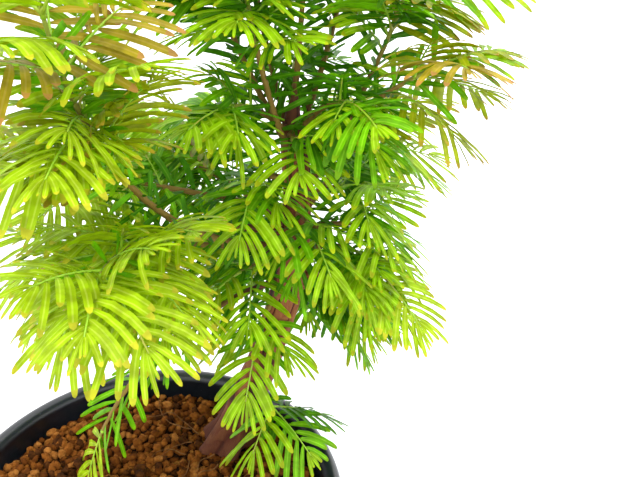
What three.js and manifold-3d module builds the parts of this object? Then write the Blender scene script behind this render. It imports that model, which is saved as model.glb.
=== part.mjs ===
// A dawn redwood grown as a bonsai in a round glazed pot: a leaning trunk that forks into upright
// leaders, side boughs below them, and feathery sprays of flat needles on every stem.
// Millimetres and degrees, +Z up, with the origin in the middle of the pot's flat underside.
import * as THREE from 'three';
import { mergeVertices } from 'three/addons/utils/BufferGeometryUtils.js';
import Module from 'manifold-3d';

const wasm = await Module();
wasm.setup();

// ---------------------------------------------------------------------------------------------
// Driving dimensions

const GAP = 0.3; // left between neighbouring pieces

const POT = {
  height: 62,
  rimRadius: 69.8,
  lipWidth: 6.5,
  lipHeight: 8,
  neckRadius: 65.5,
  footRadius: 50,
  footBevel: 1.5,
  wall: 5,
  floor: 6,
  drains: 3,
  drainRadius: 5,
  drainOffset: 27,
  sides: 40,
};

const SOIL = {
  level: 55,
  dip: 1.2, // how much lower it lies at the pot's wall
  lump: 2.4, // height of the heaps that the granules lie in
  lumpsApart: 14,
  rings: 9, // of points on its top
};

const TRUNK = {
  foot: new THREE.Vector2(25, 34), // planted off the pot's centre
  height: 131, // from the soil to the fork
  lean: 29, // how far it leans over towards +X
  sweep: 109, // degrees of a sine wave that the lean follows, so the top stands upright
  drift: 2, // the slight lean towards +Y
  footRadius: 6.9,
  forkRadius: 3.9,
  flare: 3.2, // extra radius of the root flare at the soil
  flareHeight: 8,
  roots: 5, // ridges round the flare
  rootDepth: 0.16,
  sides: 15,
  steps: 12,
};

const STUB = { height: 71, bearing: 5, rise: 25, length: 9, baseRadius: 2.7, tipRadius: 2.3 };

const BOUGH = { sides: 5, steps: 4, tipRadius: 1 };
const STEM = { sides: 3, steps: 4, baseRadius: 1.15, tipRadius: 0.75 };

const SPRAY = {
  length: 42,
  base: 66, // angle off the stem at the foot of a mass
  tip: 42, // and near its tip
  turn: 120, // degrees round the stem from one pair to the next
  droop: 0.24, // sag of its tip as a share of its length
  pitch: 9.2, // from one tooth to the next
  toothLength: 15,
  tipTooth: 5, // the last tooth, straight on from the core
  coreHalfWidth: 3, // at its widest: the needles' feet stand side by side there
  rootHalfWidth: 0.9,
  thickness: 0.7,
  curl: 0.012, // how strongly the teeth arch down to their tips
  sunk: 0.4, // how far behind the stem's axis its core begins
  clearOfBough: 4, // the first one's distance from the bough's tip
};

const CLEAR = { space: 0.5, limb: 1.1, soil: 3, rim: 2.6, rimZone: 58 };

// Each limb leaves the trunk at a height above the soil, heads out on a bearing (0 is +X, counted
// round from above) at a rise above the level, and turns and lifts steadily along its reach. The
// bare share is its bough. The rest is the stem of a foliage mass with that many pairs of sprays,
// as long as size says, the first of them at that spin round the stem, and flat below 1 where they
// lie more in one level pad. One more spray, as long as ending, carries on from the stem's tip.
const LIMBS = [
  { name: 'leader_middle', height: 131, bearing: 50, turn: 0, rise: 80, lift: 6,
    reach: 84, bare: 0.12, radius: 1.9, pairs: 5, size: 0.72, ending: 30,
    spin: 0, flat: 1 },
  { name: 'leader_right', height: 104, bearing: 0, turn: 2, rise: 58, lift: 16,
    reach: 90, bare: 0.26, radius: 1.7, pairs: 5, size: 0.8, ending: 30,
    spin: 30, flat: 1 },
  { name: 'leader_back_right', height: 124, bearing: 52, turn: 10, rise: 52, lift: 28,
    reach: 92, bare: 0.16, radius: 1.6, pairs: 5, size: 0.85, ending: 30,
    spin: 30, flat: 1 },
  { name: 'leader_back_left', height: 119, bearing: 122, turn: -6, rise: 56, lift: 24,
    reach: 94, bare: 0.18, radius: 1.8, pairs: 5, size: 0.85, ending: 30,
    spin: 0, flat: 1 },
  { name: 'leader_front_left', height: 115, bearing: 234, turn: 12, rise: 61, lift: 22,
    reach: 89, bare: 0.18, radius: 1.6, pairs: 5, size: 0.55, ending: 28,
    spin: 0, flat: 1 },
  { name: 'leader_left', height: 119, bearing: 170, turn: 3, rise: 60, lift: 18,
    reach: 92, bare: 0.18, radius: 1.6, pairs: 5, size: 0.75, ending: 28,
    spin: 0, flat: 1 },
  { name: 'twig_fork_left', height: 124, bearing: 200, turn: 40, rise: 62, lift: -50,
    reach: 32, bare: 0.36, radius: 1.3, pairs: 2, size: 0.5, ending: 20,
    spin: 0, flat: 0.8 },
  { name: 'twig_fork_right', height: 126, bearing: 341, turn: -50, rise: 62, lift: -50,
    reach: 31, bare: 0.36, radius: 1.3, pairs: 2, size: 0.5, ending: 20,
    spin: 0, flat: 0.8 },
  { name: 'twig_fork_back', height: 125, bearing: 98, turn: -11, rise: 62, lift: -37,
    reach: 26, bare: 0.36, radius: 1.3, pairs: 2, size: 0.55, ending: 20,
    spin: 0, flat: 0.8 },
  { name: 'twig_right_high', height: 117, bearing: 346, turn: -3, rise: 50, lift: -20,
    reach: 58, bare: 0.42, radius: 1.3, pairs: 2, size: 0.66, ending: 18,
    spin: 0, flat: 0.6 },
  { name: 'bough_right_high', height: 101, bearing: 15, turn: -48, rise: 56, lift: -65,
    reach: 24, bare: 0.36, radius: 1.4, pairs: 2, size: 0.6, ending: 30,
    spin: 0, flat: 0.8 },
  { name: 'bough_right', height: 92, bearing: 0, turn: -10, rise: 30, lift: -45,
    reach: 27, bare: 0.36, radius: 1.5, pairs: 2, size: 0.6, ending: 24,
    spin: 0, flat: 0.8 },
  { name: 'bough_right_low', height: 82, bearing: 40, turn: -86, rise: 24, lift: -44,
    reach: 29, bare: 0.38, radius: 1.4, pairs: 2, size: 0.58, ending: 26,
    spin: 0, flat: 0.6 },
  { name: 'bough_back_right_low', height: 62, bearing: 96, turn: -98, rise: -4, lift: -16,
    reach: 44, bare: 0.38, radius: 1.5, pairs: 3, size: 0.7, ending: 28,
    spin: 0, flat: 0.6 },
  { name: 'bough_front_high', height: 126, bearing: 262, turn: 16, rise: 38, lift: -36,
    reach: 15, bare: 0.55, radius: 1.3, pairs: 1, size: 0.5, ending: 17,
    spin: 0, flat: 0.6 },
  { name: 'bough_front_side', height: 110, bearing: 190, turn: 72, rise: 40, lift: -44,
    reach: 22, bare: 0.4, radius: 1.4, pairs: 1, size: 0.62, ending: 22,
    spin: 0, flat: 0.6 },
  { name: 'bough_front', height: 101, bearing: 284, turn: 8, rise: 20, lift: -32,
    reach: 11, bare: 0.62, radius: 1.4, pairs: 1, size: 0.55, ending: 20,
    spin: 0, flat: 0.6 },
  { name: 'bough_front_low', height: 80, bearing: 202, turn: 21, rise: 30, lift: -39,
    reach: 21, bare: 0.4, radius: 1.4, pairs: 1, size: 0.6, ending: 20,
    spin: 0, flat: 0.7 },
  { name: 'twig_front', height: 72, bearing: 196, turn: 62, rise: -44, lift: 16,
    reach: 18, bare: 0.55, radius: 1.2, pairs: 1, size: 0.36, ending: 23,
    spin: 0, flat: 0.5 },
  { name: 'twig_right_low', height: 26, bearing: 312, turn: 4, rise: 2, lift: -18,
    reach: 12, bare: 0.7, radius: 1.2, pairs: 1, size: 0.5, ending: 30,
    spin: 0, flat: 0.5 },
  { name: 'bough_front_left_high', height: 88, bearing: 220, turn: 26, rise: 16, lift: 68,
    reach: 130, bare: 0.42, radius: 1.8, pairs: 5, size: 0.9, ending: 30,
    spin: 0, flat: 1 },
  { name: 'bough_front_left', height: 92, bearing: 200, turn: 75, rise: 23, lift: -10,
    reach: 94, bare: 0.48, radius: 1.7, pairs: 3, size: 0.7, ending: 26,
    spin: 0, flat: 0.45 },
  { name: 'bough_left', height: 100, bearing: 197, turn: -19, rise: 21, lift: -11,
    reach: 78, bare: 0.32, radius: 1.6, pairs: 3, size: 0.95, ending: 30,
    spin: 0, flat: 0.7 },
  { name: 'bough_left_low', height: 84, bearing: 193, turn: 2, rise: 21, lift: -27,
    reach: 72, bare: 0.36, radius: 1.6, pairs: 3, size: 0.8, ending: 28,
    spin: 0, flat: 0.5 },
  { name: 'shoot_left', height: 75, bearing: 201, turn: 9, rise: -3, lift: -59,
    reach: 88, bare: 0.66, radius: 1.3, pairs: 0, size: 0.4, ending: 26,
    spin: 0, flat: 0.6 },
  { name: 'bough_back_right', height: 97, bearing: 58, turn: -4, rise: 22, lift: -10,
    reach: 52, bare: 0.34, radius: 1.6, pairs: 3, size: 0.9, ending: 27,
    spin: 0, flat: 0.8 },
  { name: 'bough_back_left', height: 94, bearing: 142, turn: 8, rise: 18, lift: -8,
    reach: 66, bare: 0.34, radius: 1.6, pairs: 3, size: 0.95, ending: 30,
    spin: 0, flat: 0.8 },
  { name: 'bough_back_low', height: 66, bearing: 104, turn: 16, rise: 6, lift: -12,
    reach: 56, bare: 0.34, radius: 1.5, pairs: 3, size: 0.95, ending: 30,
    spin: 0, flat: 0.7 },
];

const PATH_STEPS = 24; // straight stretches that a limb's path is followed in

const COLOURS = { glaze: 0x2b3442, soil: 0x6b3c1e, bark: 0x6e4230, shoot: 0x7a5a30, needles: 0x6fae12 };

// ---------------------------------------------------------------------------------------------
// Helpers

const UP = new THREE.Vector3(0, 0, 1);
const radians = THREE.MathUtils.degToRad;
const mix = THREE.MathUtils.lerp;

// A closed three.js geometry as a solid. Faces that close up at a pole are left out.
function solid(geometry) {
  const bare = geometry.clone().deleteAttribute('normal').deleteAttribute('uv');
  const merged = mergeVertices(bare, 1e-4);
  const corners = merged.index.array;
  const faces = [];
  for (let i = 0; i < corners.length; i += 3) {
    const [a, b, c] = corners.slice(i, i + 3);
    if (a !== b && b !== c && c !== a) faces.push(a, b, c);
  }
  return new wasm.Manifold(new wasm.Mesh({
    numProp: 3,
    vertProperties: merged.attributes.position.array,
    triVerts: new Uint32Array(faces),
  }));
}

// The largest body of a solid, so a loose scrap is dropped and a sealed hollow is filled.
function wholeBody(body) {
  const bodies = body.decompose();
  return bodies.reduce((best, next) => (next.volume() > best.volume() ? next : best));
}

function geometryOf(body) {
  const mesh = body.getMesh();
  const geometry = new THREE.BufferGeometry();
  geometry.setAttribute('position', new THREE.BufferAttribute(mesh.vertProperties, 3));
  geometry.setIndex(new THREE.BufferAttribute(mesh.triVerts, 1));
  const faceted = geometry.toNonIndexed();
  faceted.computeVertexNormals();
  return faceted;
}

function piece(name, body, colour, roughness) {
  const material = new THREE.MeshStandardMaterial({ color: colour, roughness, metalness: 0 });
  const mesh = new THREE.Mesh(geometryOf(body), material);
  mesh.name = name;
  return mesh;
}

// A solid of revolution about Z. The profile lists [radius, height] from the axis to the axis.
function turned(profile, sides) {
  const outline = profile.map(([radius, height]) => new THREE.Vector2(radius, height));
  return solid(new THREE.LatheGeometry(outline, sides).rotateX(Math.PI / 2));
}

// A capped round bar along Z from 0 to 1, whose points bend() then moves to their places.
function bar(sides, steps, bend) {
  const outline = [new THREE.Vector2(0, 0)];
  for (let i = 0; i <= steps; i++) outline.push(new THREE.Vector2(1, i / steps));
  outline.push(new THREE.Vector2(0, 1));
  const geometry = new THREE.LatheGeometry(outline, sides).rotateX(Math.PI / 2);
  const place = geometry.attributes.position;
  const point = new THREE.Vector3();
  for (let i = 0; i < place.count; i++) {
    const moved = bend(point.fromBufferAttribute(place, i));
    place.setXYZ(i, moved.x, moved.y, moved.z);
  }
  return solid(geometry);
}

function heading(bearing, rise) {
  const level = Math.cos(radians(rise));
  return new THREE.Vector3(
    level * Math.cos(radians(bearing)), level * Math.sin(radians(bearing)), Math.sin(radians(rise)));
}

// A repeatable number from 0 to 1 for one draw about one spray of one limb.
function chance(limb, spray, draw) {
  const wave = Math.sin(12.9898 * limb + 78.233 * spray + 37.719 * draw) * 43758.5453;
  return wave - Math.floor(wave);
}

// ---------------------------------------------------------------------------------------------
// Pot and soil

// The wall leans out from the foot to a neck and ends in a rounded lip. The drains are off centre,
// so the middle of the underside is solid.
function pot() {
  const { height, rimRadius, lipWidth, lipHeight, neckRadius, footRadius, wall, floor } = POT;
  const round = lipWidth / 2;
  const lipTop = [];
  for (let turn = 0; turn <= 180; turn += 45) {
    const side = Math.cos(radians(turn));
    const rise = Math.sin(radians(turn));
    lipTop.push([rimRadius - round + round * side, height - round + round * rise]);
  }
  const profile = [
    [0, 0],
    [footRadius - POT.footBevel, 0],
    [footRadius, POT.footBevel],
    [neckRadius, height - lipHeight - 3],
    [rimRadius - 0.6, height - lipHeight],
    ...lipTop,
    [rimRadius - lipWidth, height - lipHeight],
    [footRadius - wall, floor],
    [0, floor],
  ];
  let body = turned(profile, POT.sides);
  const drainProfile = [[0, -1], [POT.drainRadius, -1], [POT.drainRadius, floor + 1], [0, floor + 1]];
  for (let i = 0; i < POT.drains; i++) {
    const angle = radians(90 + (360 * i) / POT.drains);
    const drain = turned(drainProfile, 16)
      .translate([POT.drainOffset * Math.cos(angle), POT.drainOffset * Math.sin(angle), 0]);
    body = body.subtract(drain);
  }
  return body;
}

// How far the soil is heaped up at a place: waves in both directions, each shifted by the other, that
// die out at the pot's wall and round the trunk's foot.
function heap(x, y, mouth) {
  const wave = (2 * Math.PI) / SOIL.lumpsApart;
  const bumps = Math.sin(wave * x + 1.3 * Math.sin(0.2 * y))
    * Math.sin(wave * y + 1.1 * Math.sin(0.17 * x));
  const fromTrunk = Math.hypot(x - TRUNK.foot.x, y - TRUNK.foot.y) - TRUNK.footRadius - TRUNK.flare;
  const fade = THREE.MathUtils.smoothstep(fromTrunk, 6, 13)
    * THREE.MathUtils.smoothstep(mouth - Math.hypot(x, y), 0, 8);
  return 0.5 * SOIL.lump * (1 + bumps) * fade;
}

// The pot's inside, kept clear of its wall and floor. Its top lies just below the trunk's flat cut,
// with low heaps round it, and dips at the wall.
function soil() {
  const { height, rimRadius, lipWidth, lipHeight, footRadius, wall, floor } = POT;
  const inset = 2 * GAP;
  const innerFoot = footRadius - wall - inset;
  const innerMouth = rimRadius - lipWidth - inset;
  const shoulder = height - lipHeight - 2;
  const mouth = mix(innerFoot, innerMouth, (shoulder - floor) / (height - lipHeight - floor));
  const bottom = floor + GAP;
  const top = SOIL.level - GAP;
  const level = TRUNK.foot.length() + TRUNK.footRadius + TRUNK.flare;
  const outline = [[0, bottom], [innerFoot, bottom], [mouth, shoulder]];
  for (let ring = SOIL.rings; ring >= 0; ring--) {
    const radius = (mouth * ring) / SOIL.rings;
    outline.push([radius, top - SOIL.dip * Math.max(0, (radius - level) / (mouth - level))]);
  }
  const points = outline.map(([radius, z]) => new THREE.Vector2(radius, z));
  const geometry = new THREE.LatheGeometry(points, POT.sides).rotateX(Math.PI / 2);
  const place = geometry.attributes.position;
  for (let i = 0; i < place.count; i++) {
    const [x, y, z] = [place.getX(i), place.getY(i), place.getZ(i)];
    if (z > shoulder + GAP) place.setZ(i, z + heap(x, y, mouth));
  }
  return solid(geometry);
}

// ---------------------------------------------------------------------------------------------
// Trunk

// The trunk's middle at a share of its height.
function trunkPoint(share) {
  return new THREE.Vector3(
    TRUNK.foot.x + TRUNK.lean * Math.sin(radians(TRUNK.sweep * share)),
    TRUNK.foot.y + TRUNK.drift * share,
    SOIL.level + TRUNK.height * share);
}

function trunkRadius(share) {
  const flare = TRUNK.flare * Math.exp((-TRUNK.height * share) / TRUNK.flareHeight);
  return mix(TRUNK.footRadius, TRUNK.forkRadius, share) + flare;
}

// Level sections up the leaning axis, closer together in the flare, whose ridges are its roots.
function trunkBar(extra) {
  return bar(TRUNK.sides, TRUNK.steps, (point) => {
    const share = Math.max(point.z, 0) ** 1.35;
    const flared = Math.exp((-TRUNK.height * share) / (1.6 * TRUNK.flareHeight));
    const ridge = 1 + TRUNK.rootDepth * flared * Math.cos(TRUNK.roots * Math.atan2(point.y, point.x));
    const radius = trunkRadius(share) * ridge + extra;
    const middle = trunkPoint(share);
    return middle.add(new THREE.Vector3(point.x * radius, point.y * radius, 0));
  });
}

// The cut stub of an old branch, rooted in the trunk.
function stub() {
  const foot = trunkPoint(STUB.height / TRUNK.height);
  const along = heading(STUB.bearing, STUB.rise);
  const side = new THREE.Vector3().crossVectors(UP, along).normalize();
  const over = new THREE.Vector3().crossVectors(along, side);
  return bar(7, 1, (point) => {
    const radius = mix(STUB.baseRadius, STUB.tipRadius, point.z);
    return foot.clone()
      .addScaledVector(along, (STUB.length + TRUNK.footRadius / 2) * point.z)
      .addScaledVector(side, radius * point.x)
      .addScaledVector(over, radius * point.y);
  });
}

// ---------------------------------------------------------------------------------------------
// Limbs: their paths and the space that each mass keeps to

// The path's points, an equal step apart, each step on the heading of its own middle.
function limbPath(limb) {
  const points = [trunkPoint(limb.height / TRUNK.height)];
  const step = limb.reach / PATH_STEPS;
  for (let i = 0; i < PATH_STEPS; i++) {
    const share = (i + 0.5) / PATH_STEPS;
    const along = heading(limb.bearing + limb.turn * share, limb.rise + limb.lift * share);
    points.push(points[i].clone().addScaledVector(along, step));
  }
  return points;
}

function along(limb, share) {
  const place = Math.min(Math.max(share, 0), 1) * PATH_STEPS;
  const i = Math.min(Math.floor(place), PATH_STEPS - 1);
  return limb.path[i].clone().lerp(limb.path[i + 1], place - i);
}

function direction(limb, share) {
  return heading(limb.bearing + limb.turn * share, limb.rise + limb.lift * share);
}

// Sideways unit vectors of a limb: the level one, and the one above it.
function sidesOf(forward) {
  const level = new THREE.Vector3(0.02, 0.05, 1).cross(forward).normalize();
  return [level, new THREE.Vector3().crossVectors(forward, level)];
}

function limbRadius(limb, share) {
  if (share <= limb.bare) return mix(limb.radius, BOUGH.tipRadius, share / limb.bare);
  return mix(STEM.baseRadius, STEM.tipRadius, (share - limb.bare) / (1 - limb.bare));
}

// Halfway along a mass, whose length is its stem and the spray that ends it.
function massMiddle(limb) {
  const reached = mix(limb.bare * limb.reach, limb.reach + limb.ending, 0.5);
  const beyond = Math.max(0, reached - limb.reach);
  return along(limb, reached / limb.reach).addScaledVector(direction(limb, 1), beyond);
}

for (const limb of LIMBS) {
  limb.path = limbPath(limb);
  limb.middle = massMiddle(limb);
}

const TRUNK_BALLS = [];
for (let z = 0; z <= TRUNK.height; z += 2) {
  const share = z / TRUNK.height;
  TRUNK_BALLS.push({ centre: trunkPoint(share), radius: trunkRadius(share) });
}

// Balls strung along each limb, that stand for it where a spray has to keep clear.
for (const limb of LIMBS) {
  limb.balls = [];
  for (let reached = 0; reached <= limb.reach; reached += 2) {
    const share = reached / limb.reach;
    limb.balls.push({ centre: along(limb, share), radius: limbRadius(limb, share), share });
  }
}

// A mass's space is what lies nearer to its own middle than to any other's. The pot and the soil
// keep theirs.
function inOwnSpace(point, limb) {
  const level = Math.hypot(point.x, point.y);
  if (point.z < SOIL.level + CLEAR.soil) return false;
  if (level > CLEAR.rimZone && point.z < POT.height + CLEAR.rim) return false;
  const own = point.distanceToSquared(limb.middle);
  return LIMBS.every((other) => {
    if (other === limb) return true;
    const apart = 2 * other.middle.distanceTo(limb.middle);
    return (point.distanceToSquared(other.middle) - own) / apart > CLEAR.space;
  });
}

function clearOfLimbs(point, limb) {
  const clear = (ball) => point.distanceTo(ball.centre) > ball.radius + CLEAR.limb;
  if (!TRUNK_BALLS.every(clear)) return false;
  return LIMBS.every((other) => other.balls.every(
    (ball) => (other === limb && ball.share > limb.bare) || clear(ball)));
}

const fits = (point, limb) => inOwnSpace(point, limb) && clearOfLimbs(point, limb);

// ---------------------------------------------------------------------------------------------
// Boughs, stems and sprays

// A tapered stretch of a limb between two shares of its path.
function stretch(limb, from, to, sides, steps) {
  return bar(sides, steps, (point) => {
    const share = mix(from, to, point.z);
    const [level, over] = sidesOf(direction(limb, share));
    const radius = limbRadius(limb, share);
    return along(limb, share)
      .addScaledVector(level, radius * point.x)
      .addScaledVector(over, radius * point.y);
  });
}

// One spray of a limb. Its place counts pairs from the foot of the mass: whole numbers here, and
// parts between them on a finer plant, so the pairs turn evenly round the stem either way.
function sprayAt(limb, index, place, hand) {
  const number = 2 * Math.round(3 * place) + hand;
  const progress = (place + 0.3) / limb.pairs;
  const share = mix(limb.bare + SPRAY.clearOfBough / limb.reach, 1, progress);
  const forward = direction(limb, share);
  const [level, over] = sidesOf(forward);
  const spin = radians(
    limb.spin + SPRAY.turn * place + 180 * hand + 30 * (chance(index, number, 0) - 0.5));
  const open = radians(mix(SPRAY.base, SPRAY.tip, progress) + 16 * (chance(index, number, 1) - 0.5));
  const side = level.multiplyScalar(Math.cos(spin))
    .addScaledVector(over, limb.flat * Math.sin(spin)).normalize();
  return {
    share,
    forward: forward.multiplyScalar(Math.cos(open)).addScaledVector(side, Math.sin(open)),
    length: SPRAY.length * limb.size * mix(1, 0.72, progress)
      * mix(0.85, 1.15, chance(index, number, 2)),
    roll: radians(50 * (chance(index, number, 3) - 0.5)),
  };
}

// The spray that ends a limb.
function tipSpray(limb, index) {
  return {
    share: 0.97,
    forward: direction(limb, 1),
    length: limb.ending,
    roll: radians(40 * (chance(index, 0, 4) - 0.5)),
  };
}

function spraysOf(limb, index) {
  const sprays = [tipSpray(limb, index)];
  for (let place = 0; place < limb.pairs; place++) {
    sprays.push(sprayAt(limb, index, place, 0), sprayAt(limb, index, place, 1));
  }
  return sprays;
}

// A point of a spray, given along its core, out to one side and up through its thickness. The core
// sags with the square of the distance, and so do the teeth.
function sprayPoint(spray, root, x, y, z) {
  const [level, over] = sidesOf(spray.forward);
  const side = level.clone().multiplyScalar(Math.cos(spray.roll))
    .addScaledVector(over, Math.sin(spray.roll));
  const normal = new THREE.Vector3().crossVectors(spray.forward, side);
  const sag = (SPRAY.droop * x * Math.abs(x)) / spray.length + SPRAY.curl * y * y;
  return root.clone()
    .addScaledVector(spray.forward, x)
    .addScaledVector(side, y)
    .addScaledVector(normal, z)
    .addScaledVector(UP, -sag);
}

// The half width of a spray's core at a share of its length.
function coreHalfWidth(share) {
  const swell = Math.sin(Math.PI * Math.min(1, 0.15 + share) ** 0.8);
  return mix(SPRAY.rootHalfWidth, SPRAY.coreHalfWidth, Math.max(swell, 0));
}

// A tooth's length and its angle off the core, at a share of the core's length.
function toothAt(share, size) {
  const swell = Math.min(1, 0.66 + 1.5 * share - 1.9 * share * share);
  return { length: SPRAY.toothLength * mix(1, size, 0.4) * swell, angle: radians(mix(70, 32, share)) };
}

// The longest form of the spray whose core fits, or nothing.
function fitCore(spray, root, limb) {
  for (const cut of [1, 0.85, 0.7, 0.55]) {
    const trial = { ...spray, length: spray.length * cut };
    const shares = [0.18, 0.32, 0.46, 0.6, 0.75, 0.9, 1 + SPRAY.tipTooth / trial.length];
    const core = shares.flatMap((share) => {
      const half = coreHalfWidth(share);
      return [-half, 0, half].map((y) => sprayPoint(trial, root, trial.length * share, y, 0));
    });
    if (core.every((point) => fits(point, limb))) return trial;
  }
  return null;
}

// The tip of the tooth whose foot lies between two places on the core, cut back until it fits.
function fitTooth(spray, root, limb, hand, from, to) {
  const foot = (from + to) / 2;
  const { length, angle } = toothAt(foot / spray.length, limb.size);
  for (const cut of [1, 0.75, 0.5]) {
    const tip = [
      foot + cut * length * Math.cos(angle),
      hand * (SPRAY.coreHalfWidth + cut * length * Math.sin(angle)),
    ];
    const inside = [0.35, 0.7, 1].flatMap((way) => [from, foot, to].map((start) => sprayPoint(
      spray, root, mix(start, tip[0], way), mix(hand * SPRAY.coreHalfWidth, tip[1], way), 0)));
    if (inside.every((point) => fits(point, limb))) return tip;
  }
  return null;
}

// One edge of a blade from its root to its last notch, as [along, sideways] points.
function bladeEdge(spray, root, limb, hand) {
  const teeth = Math.max(2, Math.round(spray.length / SPRAY.pitch - 0.6));
  const pitch = spray.length / (teeth + 0.6);
  const points = [[-SPRAY.sunk, hand * SPRAY.rootHalfWidth]];
  for (let i = 0; i < teeth; i++) {
    const from = pitch * (i + 0.45);
    const tip = fitTooth(spray, root, limb, hand, from, from + pitch);
    points.push([from, hand * coreHalfWidth(from / spray.length)]);
    if (tip) points.push(tip);
  }
  points.push([pitch * (teeth + 0.4), hand * SPRAY.rootHalfWidth]);
  return points;
}

// One spray as a toothed blade, bent to its sag.
function blade(spray, limb) {
  const root = along(limb, spray.share);
  const fitted = fitCore(spray, root, limb);
  if (!fitted) return null;
  const outline = [
    ...bladeEdge(fitted, root, limb, -1),
    [fitted.length + SPRAY.tipTooth, 0],
    ...bladeEdge(fitted, root, limb, 1).reverse(),
  ];
  const shape = new THREE.Shape(outline.map(([x, y]) => new THREE.Vector2(x, y)));
  const geometry = new THREE.ExtrudeGeometry(shape, { depth: SPRAY.thickness, bevelEnabled: false });
  const place = geometry.attributes.position;
  for (let i = 0; i < place.count; i++) {
    const height = place.getZ(i) - SPRAY.thickness / 2;
    const moved = sprayPoint(fitted, root, place.getX(i), place.getY(i), height);
    place.setXYZ(i, moved.x, moved.y, moved.z);
  }
  return solid(geometry);
}

// A foliage mass: the stem beyond its bough, with the sprays fused on.
function mass(limb, index) {
  let body = stretch(limb, limb.bare + GAP / limb.reach, 1, STEM.sides, STEM.steps);
  for (const spray of spraysOf(limb, index)) {
    const leaf = blade(spray, limb);
    if (leaf) body = body.add(leaf);
  }
  return wholeBody(body);
}

// ---------------------------------------------------------------------------------------------
// The plant

const plant = new THREE.Group();
plant.add(piece('pot', pot(), COLOURS.glaze, 0.25));
plant.add(piece('soil', soil(), COLOURS.soil, 0.95));
plant.add(piece('trunk', wholeBody(trunkBar(0).add(stub())), COLOURS.bark, 0.85));

const trunkCutter = trunkBar(GAP);
LIMBS.forEach((limb, index) => {
  const bough = stretch(limb, 0, limb.bare, BOUGH.sides, BOUGH.steps).subtract(trunkCutter);
  plant.add(piece(`${limb.name}_wood`, wholeBody(bough), COLOURS.shoot, 0.75));
  plant.add(piece(`${limb.name}_foliage`, mass(limb, index), COLOURS.needles, 0.6));
});

export default plant;
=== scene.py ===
# %% [markdown]
# # A dawn redwood grown as a bonsai
#
# The tree stands in a round glazed pot. Its trunk leans out of brown granular soil and forks into
# upright leaders, side boughs leave it all the way up, and every stem carries feathery sprays of flat
# needles. The trunk, the limbs and the pot have a fixed frame of plain solids that already stand at
# their real size. This script dresses that frame: it grows the fine plant by the same rule, and gives
# the bark, the glaze and the soil their surfaces.
#
# Everything is worked out in whole numpy arrays: six thousand needles come out of a few of them, and
# no loop ever visits a single vertex.

# %% Load the frame
from collections import namedtuple

import bpy
import numpy as np
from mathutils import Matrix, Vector


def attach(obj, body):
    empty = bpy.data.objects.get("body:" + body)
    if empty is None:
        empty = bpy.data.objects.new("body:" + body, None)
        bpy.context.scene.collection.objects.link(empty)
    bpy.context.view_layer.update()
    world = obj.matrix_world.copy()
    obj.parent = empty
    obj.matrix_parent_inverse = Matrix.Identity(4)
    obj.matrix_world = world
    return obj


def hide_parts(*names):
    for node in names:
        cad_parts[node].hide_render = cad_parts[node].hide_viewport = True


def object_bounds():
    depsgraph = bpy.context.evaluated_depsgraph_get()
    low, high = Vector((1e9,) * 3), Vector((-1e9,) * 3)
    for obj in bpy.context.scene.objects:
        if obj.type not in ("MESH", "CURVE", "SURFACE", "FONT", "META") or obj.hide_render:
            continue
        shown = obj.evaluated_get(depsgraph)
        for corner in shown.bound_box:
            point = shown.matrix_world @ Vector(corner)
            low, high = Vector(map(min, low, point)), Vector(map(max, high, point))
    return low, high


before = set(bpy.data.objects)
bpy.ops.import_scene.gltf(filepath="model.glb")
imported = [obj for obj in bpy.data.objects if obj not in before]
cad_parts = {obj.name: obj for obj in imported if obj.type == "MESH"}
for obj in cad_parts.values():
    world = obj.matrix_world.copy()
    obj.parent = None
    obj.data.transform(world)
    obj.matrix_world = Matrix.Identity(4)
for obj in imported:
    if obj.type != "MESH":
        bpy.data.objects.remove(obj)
cad_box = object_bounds()
print("frame nodes:", len(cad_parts))

# %% [markdown]
# ## Camera, light and floor
#
# A bonsai is looked at from close by and a little above, into the crown. The eye is 25 cm from the
# trunk and looks down 30 degrees, so that the soil and the far rim of the pot come into view.
#
# Leaves look fresh in soft white light from everywhere, which opens up the shadows, with broad sources
# above them that keep the needles' upper sides brighter than the lower.

# %% Camera
MM = 0.001  # sizes are thought out in millimetres, and Blender's unit is the metre
EYE = (58.8, -184.0, 272.0)
LOOK_DOWN = 30.0
FOCAL_PIXELS = 756.4
IMAGE_WIDTH = 625
SENSOR = 36.0

scene = bpy.context.scene
camera_data = bpy.data.cameras.new("camera")
camera_data.sensor_width = SENSOR
camera_data.lens = FOCAL_PIXELS / IMAGE_WIDTH * SENSOR
camera_data.clip_start = 0.01
camera = bpy.data.objects.new("camera", camera_data)
camera.location = np.array(EYE) * MM
camera.rotation_euler = (np.radians(90 - LOOK_DOWN), 0, 0)
scene.collection.objects.link(camera)
scene.camera = camera
print("lens:", round(camera_data.lens, 2), "mm")

# %% Light
SKY_STRENGTH = 2.3
LAMPS = [  # name, place in metres, size in metres, watts
    ("key", (-0.12, -0.42, 0.95), 0.8, 6.0),
    ("back", (0.4, 0.6, 0.75), 0.6, 5.0),
]

world = bpy.data.worlds.new("soft_room")
world.use_nodes = True
world.node_tree.nodes["Background"].inputs["Color"].default_value = (1, 1, 1, 1)
world.node_tree.nodes["Background"].inputs["Strength"].default_value = SKY_STRENGTH
scene.world = world
scene.view_settings.view_transform = "Standard"


def aim(place, target):
    """The turn that points an object's -Z axis from place to target."""
    return (Vector(target) - Vector(place)).to_track_quat("-Z", "Y").to_euler()


for name, place, size, watts in LAMPS:
    lamp_data = bpy.data.lights.new(name, "AREA")
    lamp_data.size = size
    lamp_data.energy = watts
    lamp = bpy.data.objects.new(name, lamp_data)
    lamp.location = place
    lamp.rotation_euler = aim(place, (0.04, 0.02, 0.15))
    scene.collection.objects.link(lamp)
print("lamps:", len(LAMPS))

# %% [markdown]
# ## Tools for surfaces
#
# Nearly all shapes below are tubes: rings of points round a middle line. Their faces follow from the
# numbering alone, and Blender takes points and faces in one go with `foreach_set`.

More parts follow.
